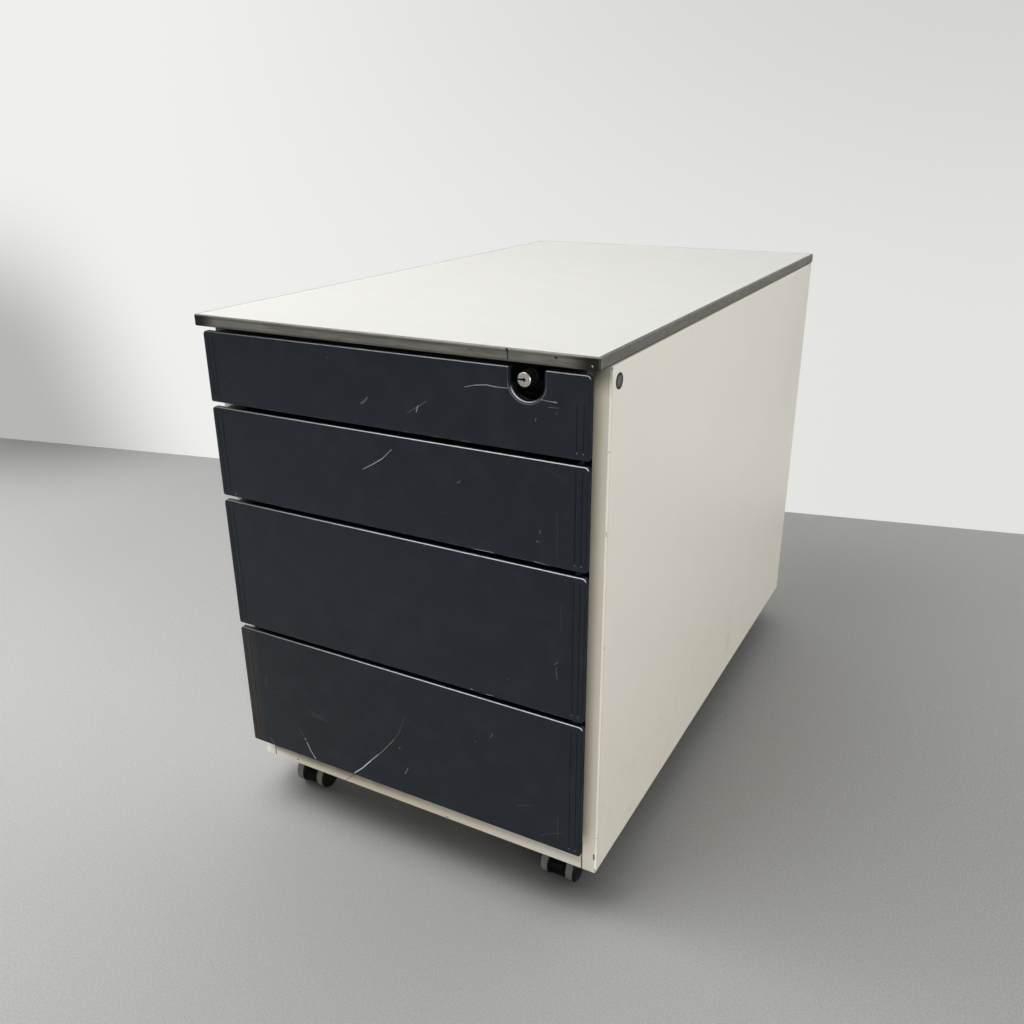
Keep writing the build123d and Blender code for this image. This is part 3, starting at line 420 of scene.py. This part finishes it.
def carcass_chips(p):
    """Mask of the single chips, each (radius in mm, start in mm, end in mm)."""
    side, face = SIDE_X / MM, STILE_FACE / MM
    spots = [(0.55, (side - 0.6, face + 0.6, 486.5), (side - 0.4, face + 0.8, 485.5)),
             (0.45, (side - 0.6, face + 0.6, 414.5), (side - 0.5, face + 0.8, 410.5)),
             (0.7, (side, face + 4, 301), (side, face + 4.5, 299)),
             (1.2, (side - 0.2, face + 1.1, 556.3), (side, face + 1.9, 555.3)),
             (0.6, (side, -110.0, 555.9), (side, -107.8, 555.5)),
             (0.35, (side, face + 5.0, 219.5), (side, face + 5.2, 217.0)),
             (0.30, (side, face + 5.6, 207.0), (side, face + 5.5, 204.0)),
             (0.30, (side, face + 5.1, 196.5), (side, face + 5.3, 195.5)),
             (0.6, (side, -178.6, 112.8), (side, -177.4, 111.6)),
             (0.9, (38.9, face, 47.8), (42.0, face, 47.4)),
             (0.7, (81.0, face, 62.3), (84.5, face, 61.0)),
             (0.9, (-164.6, face, 51.8), (-167.0, face, 50.0)),
             (0.55, (-96.2, face, 46.4), (-80.9, face, 60.2)),
             (1.0, (side, 95.0, 47.5), (side, 101.0, 46.8)),
             (0.9, (213.4, face, 50.4), (214.0, face + 0.4, 47.6)),
             (1.5, (212.1, face, 68.0), (212.3, face, 62.4))]
    chips = p.strokes([(radius, 1.0, [start, end]) for radius, start, end in spots])
    return p.times(chips, p.step(p.noise(600.0, 3.0), 0.28, 0.36))


def carcass_paint():
    """Cream powder coat: orange peel, chips on the bends and rust; painted reflection low down,
    painted shade towards the back.
    """
    p = Paint("carcass_paint")
    colour = p.blend(p.noise(2.2, 5.0), "d8d4ca", "d1ccc1")
    # Painted reflection: the lower part is painted darker and yellower.
    colour = p.tint(colour, p.step(p.z, 0.34, 0.10), 0.25, "c3bda9")
    # Painted shade: darker towards the back, from mid height up.
    back = p.times(p.step(p.y, -0.05, 0.375), p.step(p.z, 0.15, 0.45))
    colour = p.tint(colour, back, 0.40, "bab5ab")
    dirt = p.times(p.step(p.noise(26.0, 5.0, 0.65), 0.52, 0.75), p.step(p.z, 0.20, 0.05))
    colour = p.tint(colour, dirt, 0.35, "9b9480")
    scuffs = p.step(p.noise(38.0, 2.0, at=p.scaled(0.5, 0.16, 7.0, (0.5, 0, 0))), 0.72, 0.80)
    colour = p.tint(colour, scuffs, 0.22, "e6e3da")

    reach = p.off(p.x)
    front = p.step(p.y, STILE_FACE + 0.0012, STILE_FACE + 0.0006)
    bend = p.times(p.step(p.y, STILE_FACE + 0.0030, STILE_FACE + 0.0012),
                   p.step(reach, SIDE_X - 0.0030, SIDE_X - 0.0012))
    colour = stile_shades(p, colour, front, reach, bend)
    colour = rail_shades(p, colour, front, reach)
    colour = shade_under_top(p, colour)

    wear = p.times(bend, p.step(p.noise(95.0, 4.0, 0.7), 0.68, 0.72))
    chips = p.most(carcass_chips(p), wear)
    rust = p.blend(p.noise(300.0, 3.0), "2a2019", "5a4030")
    colour = p.mix(p.times(chips, 0.9), colour, rust)
    p.bump(p.less(p.noise(520.0, 2.0, 0.45), p.times(chips, 2.0)), 0.00006, 0.45)
    return p.finish(colour, p.patchy(6.0, 0.36, 0.46))


# Scratches on each front: radius in mm, strength, then points across and up in mm
FRONT_MARKS = {
    1: [(0.42, 0.62, [(91.3, 532.5), (101.1, 535.2), (112.1, 536.6), (121.6, 535.9),
                       (132.2, 536.2)]),
        (0.38, 0.60, [(162.2, 530.2), (170.0, 529.6), (176.9, 529.5)]),
        (0.70, 0.30, [(174.0, 529.6), (177.2, 529.4)]),
        (0.40, 0.16, [(170.0, 524.6), (179.0, 525.1)]),
        (0.80, 0.05, [(176.5, 521.4), (177.5, 519.4)]),
        (0.75, 0.55, [(40.3, 504.2), (41.9, 508.2), (42.4, 510.0)]),
        (0.30, 0.30, [(31.1, 502.4), (39.8, 507.6), (44.7, 510.5), (51.2, 515.3)]),
        (0.30, 0.35, [(158.6, 514.2), (158.1, 511.6)]),
        (0.38, 0.42, [(-20.8, 503.9), (-16.0, 507.4), (-11.8, 511.3)]),
        (0.25, 0.25, [(-19.2, 503.6), (-12.4, 508.8)]),
        (0.35, 0.45, [(-54.1, 543.0), (-53.6, 543.2)])],
    2: [(0.32, 0.35, [(80.4, 444.3), (84.1, 447.1)]),
        (0.35, 0.40, [(67.2, 414.6), (67.4, 414.0)]),
        (0.32, 0.35, [(162.7, 415.5), (162.7, 412.0)]),
        (0.35, 0.35, [(158.9, 404.3), (161.8, 404.3)]),
        (0.20, 0.12, [(179.1, 434.2), (179.3, 414.2), (179.1, 393.2)]),
        (0.55, 0.50, [(94.7, 383.9), (106.0, 384.4), (116.8, 384.6)]),
        (0.40, 0.40, [(156.8, 384.8), (172.5, 383.7)]),
        (0.42, 0.75, [(-22.6, 441.0), (-11.2, 447.4), (0.7, 455.1), (11.2, 465.1)]),
        (0.45, 0.40, [(-189.3, 388.7), (-189.9, 385.6)])],
    3: [(0.30, 0.30, [(177.2, 286.7), (181.3, 290.9)]),
        (0.30, 0.35, [(179.4, 284.2), (180.0, 276.1), (181.5, 272.3)]),
        (0.70, 0.45, [(89.1, 235.6), (90.6, 235.2)]),
        (0.50, 0.40, [(105.8, 234.6), (112.9, 235.0)]),
        (0.35, 0.45, [(129.9, 258.6), (130.3, 258.2)]),
        (0.20, 0.12, [(183.5, 348.7), (183.9, 322.1)])],
    4: [(0.45, 0.12, [(-137.8, 117.3), (-129.8, 106.7)]),
        (0.90, 0.35, [(-129.9, 106.3), (-128.6, 104.4)]),
        (0.95, 0.75, [(-127.2, 101.6), (-122.9, 91.8), (-117.0, 83.4)]),
        (0.40, 0.16, [(-118.3, 145.7), (-109.5, 143.6), (-100.7, 142.3)]),
        (0.35, 0.12, [(-116.0, 141.3), (-94.1, 139.2)]),
        (1.20, 0.12, [(-181.6, 89.5), (-177.2, 83.0)]),
        (1.05, 1.00, [(-63.0, 83.4), (-51.4, 94.1), (-38.9, 108.2)]),
        (0.60, 0.70, [(-40.9, 106.2), (-29.0, 118.8)]),
        (0.45, 0.50, [(-29.0, 118.8), (-22.7, 125.5), (-6.9, 145.0)]),
        (0.22, 0.30, [(-6.9, 145.0), (1.0, 158.0), (8.5, 178.2)]),
        (0.55, 0.45, [(4.9, 106.6), (7.2, 110.8), (9.2, 115.5)]),
        (0.45, 0.45, [(0.5, 138.2), (-0.4, 136.6)]),
        (0.25, 0.20, [(-177.6, 174.2), (-179.6, 159.4)]),
        (0.35, 0.40, [(-167.1, 154.7), (-167.6, 154.0)]),
        (0.30, 0.35, [(112.2, 191.6), (109.8, 186.8)]),
        (0.35, 0.45, [(92.1, 176.8), (92.8, 176.0)]),
        (0.25, 0.22, [(139.2, 116.9), (147.0, 120.4), (154.1, 122.0)]),
        (0.20, 0.14, [(182.9, 120.0), (183.2, 92.5)]),
        (0.22, 0.20, [(164.1, 90.2), (176.0, 97.5), (188.5, 102.1)]),
        (0.40, 0.45, [(208.3, 204.5), (208.1, 196.0), (207.8, 187.0)])],
}


def edge_inset(p, low, high):
    """Distance inwards from the rounded outline of a front."""
    half_x = (high.x - low.x) / 2 - FRONT_CORNER
    half_z = (high.z - low.z) / 2 - FRONT_CORNER
    away_x = p.less(p.off(p.x), half_x)
    away_z = p.less(p.off(p.z, (low.z + high.z) / 2), half_z)
    outside = p.length(p.math("MAXIMUM", away_x), p.math("MAXIMUM", away_z))
    inside = p.math("MINIMUM", p.math("MAXIMUM", away_x, away_z))
    return p.less(FRONT_CORNER, p.math("ADD", outside, inside))


def cutout_rim(p):
    """Painted highlights on the lock cut-out's rim: lower left, a faint line outside, and the
    wall's back edge."""
    across = p.less(p.x, CUTOUT_CENTRE[0])
    up = p.math("MINIMUM", p.less(p.z, CUTOUT_CENTRE[1]))
    gap = p.less(p.length(across, up), CUTOUT_RADIUS)
    turn = p.times(p.step(up, -0.20 * CUTOUT_RADIUS, -0.60 * CUTOUT_RADIUS),
                   p.step(across, 0.90 * CUTOUT_RADIUS, 0.10 * CUTOUT_RADIUS))
    bright = p.times(p.step(gap, 0.0008, 0.0005), turn)
    faint = p.times(p.step(p.off(gap, 0.0019), 0.0005, 0.0002),
                    p.step(up, 0.0, -0.3 * CUTOUT_RADIUS, 0.05, 0.20))
    shown = p.step(p.y, FRONT_FACE + 0.0022, FRONT_FACE + 0.0014)
    rear = p.times(p.step(p.off(p.y, FRONT_FACE + 0.0078), 0.0009, 0.0003),
                   p.step(gap, 0.0010, 0.0005),
                   p.step(across, -0.75 * CUTOUT_RADIUS, -0.30 * CUTOUT_RADIUS, 0.0, 0.28))
    return p.most(p.times(p.most(bright, faint), shown), rear)


def groove_lines(low, high, number):
    """The fine grooves near the ends of a front, shorter at the right of the top one."""
    lines = []
    for side in (-1, 1):
        stop = GROOVE_STOP if number == 1 and side > 0 else GROOVE_MARGIN
        for inset in GROOVE_INSETS:
            x, y = side * (PLATE_HALF / MM - inset), FRONT_FACE / MM
            lines.append((GROOVE_RADIUS, 1.0, [(x, y, low.z / MM + GROOVE_MARGIN),
                                               (x, y, high.z / MM - stop)]))
    return lines


def groove_feet(low):
    """Pale dots at the feet of the right grooves."""
    foot = low.z / MM + GROOVE_MARGIN
    places = [(PLATE_HALF / MM - inset, FRONT_FACE / MM) for inset in GROOVE_INSETS]
    return [(0.60, 0.45, [(x, y, foot + 0.1), (x, y, foot - 0.4)]) for x, y in places]


def scratches(p, number):
    """Mask of a front's scratches, broken up a little."""
    lines = [(radius, strength, [(x, FRONT_FACE / MM, z) for x, z in points])
             for radius, strength, points in FRONT_MARKS[number]]
    broken = p.step(p.noise(700.0, 3.0, 0.7), 0.30, 0.52, 0.35, 1.0)
    return p.times(p.strokes(lines), broken)


def hairlines(p):
    """Mask of very faint hairlines in two directions."""
    masks = [p.step(p.noise(75.0, 1.0, at=p.scaled(0.16, 1.0, 7.0, (0, turn, 0))), low, high)
             for turn, low, high in ((0.75, 0.735, 0.78), (-0.4, 0.75, 0.79))]
    return p.times(p.most(*masks), 0.02)


def painted_lip_highlight(p, low, high, number):
    """Mask of a front's painted top-lip highlight, fainter at the left and patchy, and of the
    cut-out's rim.
    """
    inset = edge_inset(p, low, high)
    lip = p.times(p.step(inset, 0.0010, 0.0006),
                  p.step(p.y, FRONT_FACE + 0.0007, FRONT_FACE + 0.0004),
                  p.step(p.z, high.z - 0.0040, high.z - 0.0012),
                  p.step(p.x, -0.28, 0.06, 0.1, 0.62 if number == 1 else 1.0),
                  p.step(p.noise(90.0, 3.0), 0.25, 0.5, 0.75, 1.0))
    if number == 1:
        lip = p.most(lip, p.times(cutout_rim(p), 0.9))
    return lip


def front_plastic(number):
    """Anthracite moulding: fine texture, wiped patches and scratches; painted highlights on the
    lips, painted shade in the grooves, behind the face and at the plate's ends.
    """
    low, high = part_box(f"drawer_{number}_front")
    p = Paint(f"front_plastic_{number}", specular=0.28)
    # Painted light: the higher fronts get slightly lighter base tones, evening out their shading.
    base = ("1b2027", "1a1f26", "191e24", "171c22")[number - 1]
    colour = p.blend(p.noise(5.0, 5.0), base, "1e242b")
    mottle = p.step(p.noise(38.0, 5.0, 0.6), 0.42, 0.70)
    colour = p.tint(colour, mottle, 0.35, "292e35")
    foot = p.times(p.step(p.less(p.z, low.z), 0.0020, 0.0005),
                   p.step(p.noise(60.0, 4.0, 0.7), 0.55, 0.68))
    colour = p.tint(colour, foot, 0.35, "75716b")
    if number == 4:
        dusty = p.step(p.x, -0.184, -0.198, 0.0, 0.22)
        colour = p.tint(colour, dusty, 1, "5b4f44")
    grooves = p.strokes(groove_lines(low, high, number))
    # Painted shade in the grooves, weaker at the left, weakest on the top front.
    groove_shade = p.step(p.x, 0.0, 0.1, 0.15 if number == 1 else 0.4, 0.9)
    colour = p.tint(colour, p.times(grooves, groove_shade), 1, "040506")
    # Painted shade: everything behind the face plate is painted near black.
    inside = p.step(p.y, FRONT_FACE + 0.0036, FRONT_FACE + 0.0050)
    colour = p.tint(colour, inside, 0.85, "060708")

    marks = p.most(scratches(p, number), hairlines(p), p.strokes(groove_feet(low)))
    colour = p.tint(colour, marks, 1, "dfe2e8")
    lip = painted_lip_highlight(p, low, high, number)
    # Painted highlight along the top lip and the cut-out's rim.
    colour = p.tint(colour, lip, 1, "d6d8df")
    # Painted shade: the plate's ends are painted near black, apart from the lip.
    side = p.step(p.off(p.x), PLATE_HALF - 0.0014, PLATE_HALF - 0.0008)
    colour = p.tint(colour, p.times(side, p.step(lip, 0.3, 0.0)), 0.7, "08090b")

    smear = p.noise(14.0, 4.0, at=p.scaled(1.0, 1.0, 2.5, (0, 0.4, 0)))
    rough = p.math("ADD", p.step(smear, 0.3, 0.7, 0.38, 0.50), p.times(marks, 0.2))
    rough = p.math("ADD", p.less(rough, p.times(lip, 0.12)), p.times(side, 0.35))
    p.bump(p.noise(1500.0, 2.0), 0.00004)
    return p.finish(colour, rough)


def zinc_steel():
    """Zinc plated steel, drawn along Y, with a faint blue and yellow bloom."""
    p = Paint("zinc_steel", metallic=1.0)
    colour = p.blend(p.noise(18.0, 4.0), "b9bbbd", "a9a79e")
    drawn = p.noise(160.0, 3.0, at=p.scaled(5.0, 0.15, 5.0))
    colour = p.tint(colour, drawn, 0.35, "8d8f90")
    p.bump(drawn, 0.00005, 0.3)
    return p.finish(colour, p.patchy(45.0, 0.28, 0.42))


def tray_paint():
    """Grey powder coat inside the drawers, with rub marks; painted near black as painted shade
    where it shows outside.
    """
    p = Paint("tray_paint")
    colour = p.blend(p.noise(6.0, 5.0), "63666a", "5b5e61")
    # Painted shade: the outer face of the tray front, seen behind the moulded front, is painted
    # near black.
    outside = p.step(p.y, STILE_FACE - 0.0004, STILE_FACE - 0.0008)
    colour = p.tint(colour, outside, 1, "0b0b0c")
    rubs = p.step(p.noise(22.0, 3.0, at=p.scaled(3.0, 0.3, 1.0, (0, 0, 0.3))), 0.66, 0.78)
    colour = p.tint(colour, rubs, 0.30, "85888a")
    p.bump(p.noise(700.0, 2.0), 0.00006)
    return p.finish(colour, p.patchy(12.0, 0.45, 0.58))


def moulded(name, dark, light, rough, dust, specular=0.5):
    """Black or pale moulded plastic with a fine eroded texture and some dust."""
    p = Paint(name, specular=specular)
    colour = p.blend(p.noise(60.0, 4.0), dark, light)
    settled = p.step(p.noise(130.0, 4.0, 0.7), 0.48, 0.72)
    colour = p.tint(colour, settled, dust, "8b8a86")
    p.bump(p.noise(1400.0, 2.0), 0.00006)
    return p.finish(colour, p.patchy(80.0, rough - 0.05, rough + 0.06))


def lock_sleeve_black():
    """Black moulding with a faint painted highlight round its neck."""
    p = Paint("lock_sleeve_black", specular=0.22)
    colour = p.blend(p.noise(60.0, 4.0), "050506", "0b0b0c")
    radius = p.length(p.less(p.x, LOCK_AT.x), p.less(p.z, LOCK_AT.z))
    # Painted highlight: a faint pale circle on the sleeve's neck.
    neck_highlight = p.times(p.step(p.off(p.y, LOCK_FRONT + 0.0110), 0.0008, 0.0003),
                   p.step(radius, 0.0075, 0.0071))
    colour = p.tint(colour, neck_highlight, 0.5, "6a6c70")
    p.bump(p.noise(1400.0, 2.0), 0.00006)
    return p.finish(colour, p.patchy(80.0, 0.40, 0.51))


def lock_nickel():
    """Worn nickel face with turned rings and key rubs, dark behind."""
    p = Paint("lock_nickel", metallic=0.7)
    radius = p.length(p.less(p.x, LOCK_AT.x), p.less(p.z, LOCK_AT.z))
    rings = p.math("SINE", p.times(radius, 21000.0))
    colour = p.blend(p.noise(260.0, 4.0, 0.6), "dedad0", "b5b0a5")
    rubs = p.step(p.noise(500.0, 2.0, at=p.scaled(0.4, 1.0, 3.0, (0, 0.6, 0))), 0.58, 0.68)
    colour = p.tint(colour, rubs, 0.35, "6f6a60")
    behind = p.step(p.y, LOCK_FRONT + 0.0003, LOCK_FRONT + 0.0006)
    colour = p.tint(colour, behind, 0.94, "0a0a0a")
    p.bump(p.math("ADD", rings, p.times(rubs, 2.0)), 0.00002, 0.25)
    return p.finish(colour, p.patchy(400.0, 0.30, 0.48))


def wheel_plastic(name, low, high):
    """Black wheel with a grey tread, told apart by the distance from the axle; painted shade
    darkens the bottom of the tread.
    """
    p = Paint(name, specular=0.12)
    rim = (high.z - low.z) / 2
    facing = p.split(p.node("ShaderNodeTexCoord").outputs["Normal"])[0]
    tread = p.times(p.step(p.axle(low, high), rim - 0.0010, rim - 0.0006),
                    p.step(p.off(facing), 0.25, 0.10))
    side = p.blend(p.noise(90.0, 4.0), "070708", "0e0e0f")
    grey = p.blend(p.noise(150.0, 4.0, 0.65), "7d7c78", "565552")
    # Painted shade: the tread is painted darker towards its bottom.
    grey = p.tint(grey, p.step(p.z, 0.014, 0.004, 0.0, 0.7), 1, "2c2b2a")
    colour = p.mix(tread, side, grey)
    dust = p.times(p.step(p.noise(120.0, 4.0, 0.7), 0.45, 0.7),
                   p.step(tread, 0.0, 1.0, 0.03, 0.12))
    colour = p.tint(colour, dust, 1, "8f8d88")
    p.bump(p.noise(800.0, 3.0), 0.0001, 0.4)
    return p.finish(colour, p.math("ADD", p.times(tread, 0.15), 0.45))


def cap_plastic():
    """Round cap: dark grey disc, painted lighter in its middle as a painted highlight, with a
    black rim.
    """
    p = Paint("cap_plastic", specular=0.15)
    radius = p.axle(*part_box("side_caps"))
    # Painted highlight: the disc is painted lighter towards its middle.
    colour = p.blend(p.step(radius, 0.0, CAP_DISC), "605f5b", "3b3a37")
    colour = p.tint(colour, p.noise(300.0, 3.0), 0.3, "6a6965")
    colour = p.tint(colour, p.step(radius, CAP_DISC, CAP_DISC + 0.0006), 1, "060606")
    groove = p.step(radius, CAP_DISC - 0.0002, CAP_DISC + 0.0003)
    p.bump(p.less(p.noise(1200.0, 2.0), p.times(groove, 2.0)), 0.0001)
    return p.finish(colour, 0.45)


def dress(material, *names):
    """Give CAD nodes a material."""
    for name in names:
        slots = NODES[name].data.materials
        slots.clear()
        slots.append(material)


def in_slot(slot):
    """Nodes that the record gives this finish."""
    return [node for node, finish in SLOTS.items() if finish == slot]


def dress_all():
    """Materials for every node of the model."""
    dress(laminate(), "top_board")
    dress(edge_band(), "top_edge_band")
    dress(carcass_paint(), *in_slot("carcass_paint"))
    dress(zinc_steel(), *in_slot("zinc_steel"))
    dress(lock_nickel(), "lock_core")
    dress(lock_sleeve_black(), "lock_sleeve")
    dress(moulded("guide_nylon", "d2cfc4", "c4c0b3", 0.5, 0.1), "bar_guides")
    dress(cap_plastic(), "side_caps")
    dress(tray_paint(), *in_slot("tray_paint"))
    castor = moulded("castor_black", "040405", "08080a", 0.50, 0.02, 0.10)
    dress(castor, *in_slot("castor_plastic"))
    for number in range(1, 5):
        dress(front_plastic(number), f"drawer_{number}_front")
    for end in ("front", "rear"):
        wheel = wheel_plastic(f"wheel_{end}", *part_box(f"castor_{end}_left_wheel_left"))
        dress(wheel, *[name for name in in_slot("wheel_plastic") if end in name])


def smooth(node, angle):
    """Shade a node's curved faces smooth and keep its sharp edges."""
    node.data.shade_smooth()
    node.data.set_sharp_from_angle(angle=math.radians(angle))


def quad(name, corners, material):
    """One flat stage surface."""
    mesh = bpy.data.meshes.new(name)
    mesh.from_pydata(corners, [], [(0, 1, 2, 3)])
    mesh.materials.append(material)
    made = bpy.data.objects.new(name, mesh)
    bpy.context.scene.collection.objects.link(made)
    return made


def floor_material():
    """Pale grey floor covering with a fine fleck, painted lighter at the left and front, with
    painted shadows at the far left and under the cabinet; far off it only shows a plain tone.
    """
    p = Paint("floor")
    # Painted light: the floor is painted lighter at the left than at the right.
    colour = p.blend(p.step(p.x, -0.9, 0.3), "c2c2c1", "b4b4b3")
    colour = p.tint(colour, p.noise(1.2, 3.0), 0.5, "aeaead")
    fleck = p.step(p.noise(330.0, 3.0), 0.40, 0.62)
    colour = p.tint(colour, fleck, 0.45, "a3a3a2")
    grain = p.step(p.noise(620.0, 2.0), 0.38, 0.62, -0.5, 0.5)
    colour = p.tint(colour, p.most(grain, 0.0), 0.45, "868685")
    colour = p.tint(colour, p.most(p.times(grain, -1.0), 0.0), 0.45, "e2e2e1")
    # Painted light: lighter towards the front.
    colour = p.tint(colour, p.step(p.y, 0.1, -0.5), 0.4, "cececd")
    # Painted shadow at the far left, near the wall.
    corner_shadow = p.times(p.step(p.x, -1.15, -1.75), p.step(p.y, -0.05, 0.50))
    colour = p.tint(colour, corner_shadow, 0.9, "727271")
    # Painted shadow under the cabinet.
    shadow_under_cabinet = p.times(p.step(p.off(p.x), 0.235, 0.165), p.step(p.off(p.y), 0.400, 0.330))
    colour = p.tint(colour, shadow_under_cabinet, 0.52, "4a4a49")
    material = p.finish(colour, 0.65)
    begin, alone, palest = FAR_FLOOR
    far = p.length(p.x, p.y)
    glow = p.glow(p.blend(p.step(far, begin, palest), "a2a2a1", "d6d6d4"))
    seen = p.node("ShaderNodeLightPath").outputs["Is Camera Ray"]
    p.surface(p.join(p.times(p.step(far, begin, alone), seen), p.shader.outputs[0], glow))
    return material


def wall_material():
    """Off-white backdrop that shows a tone for the camera, with painted shade to the right and top
    right and a painted shadow at the left; it isn't there from behind.
    """
    p = Paint("wall")
    material = p.finish(linear("eeeeec"), 0.9)
    # Painted shade: the backdrop's tone darkens towards the right and the top right, with a
    # painted shadow at the left.
    tone = p.blend(p.step(p.x, -1.5, 0.5), "f0f0ee", "e3e3e1")
    high = p.times(p.step(p.x, -1.3, 0.5), p.step(p.z, 0.35, 1.15))
    tone = p.tint(tone, high, 0.75, "cacac8")
    slant = p.math("ADD", p.x, p.times(p.z, 0.35))
    corner_shadow = p.times(p.step(slant, -1.15, -1.65), p.step(p.z, 0.70, 0.25))
    tone = p.tint(tone, corner_shadow, 1, "b6b6b4")
    seen = p.node("ShaderNodeLightPath").outputs["Is Camera Ray"]
    facing = p.join(seen, p.shader.outputs[0], p.glow(tone))
    clear = p.node("ShaderNodeBsdfTransparent").outputs[0]
    p.surface(p.join(p.node("ShaderNodeNewGeometry").outputs["Backfacing"], facing, clear))
    return material


def build_stage():
    """Floor, and a wall where the photograph has one."""
    half = FLOOR_HALF
    quad("floor", [(-half, -half, 0), (half, -half, 0), (half, half, 0), (-half, half, 0)],
         floor_material())
    foot, rise = Vector(WALL_FOOT), Vector((0, 0, WALL_HEIGHT))
    along = Vector(WALL_ALONG).normalized() * half
    wall = quad("wall", [foot - along, foot + along, foot + along + rise, foot - along + rise],
                wall_material())
    wall.visible_shadow = False


def area_light(name, spot, target, width, height, power):
    """Soft box that faces a point."""
    data = bpy.data.lights.new(name, "AREA")
    data.shape, data.size, data.size_y = "RECTANGLE", width, height
    data.energy = power
    made = bpy.data.objects.new(name, data)
    made.location = spot
    made.rotation_euler = (Vector(target) - Vector(spot)).to_track_quat("-Z", "Y").to_euler()
    bpy.context.scene.collection.objects.link(made)


def build_world():
    """Faint even light, and a pale backdrop that only the camera sees."""
    world = bpy.data.worlds.new("world")
    bpy.context.scene.world = world
    world.use_nodes = True
    nodes, links = world.node_tree.nodes, world.node_tree.links
    plain = nodes["Background"]
    plain.inputs["Color"].default_value = (0.97, 0.985, 1.0, 1)
    plain.inputs["Strength"].default_value = 0.06
    pale = nodes.new("ShaderNodeBackground")
    pale.inputs["Color"].default_value = linear("eeeeec")
    mixed = nodes.new("ShaderNodeMixShader")
    seen = nodes.new("ShaderNodeLightPath").outputs["Is Camera Ray"]
    for source, socket in zip((seen, plain.outputs[0], pale.outputs[0]), mixed.inputs):
        links.new(source, socket)
    links.new(mixed.outputs[0], nodes["World Output"].inputs["Surface"])


def build_camera():
    """The photograph's camera."""
    azimuth, elevation, roll = (math.radians(a) for a in CAMERA_ANGLES)
    back = Vector((math.sin(azimuth) * math.cos(elevation),
                   -math.cos(azimuth) * math.cos(elevation), math.sin(elevation)))
    level = (-back).cross(Vector((0, 0, 1))).normalized()
    upright = level.cross(-back)
    right = level * math.cos(roll) + upright * math.sin(roll)
    up = upright * math.cos(roll) - level * math.sin(roll)
    data = bpy.data.cameras.new("camera")
    data.lens, data.sensor_width = CAMERA_LENS, CAMERA_SENSOR
    made = bpy.data.objects.new("camera", data)
    turned = Matrix((right, up, back)).transposed().to_4x4()
    made.matrix_world = Matrix.Translation(Vector(CAMERA_AT)) @ turned
    bpy.context.scene.collection.objects.link(made)
    bpy.context.scene.camera = made


def build():
    """Camera, stage, lights and the dressed model."""
    bpy.context.scene.view_settings.view_transform = "Standard"
    build_camera()
    build_stage()
    for light in LIGHTS:
        area_light(*light)
    build_world()
    dress_all()
    for node in NODES.values():
        smooth(node, SHARP_ANGLE)


build()
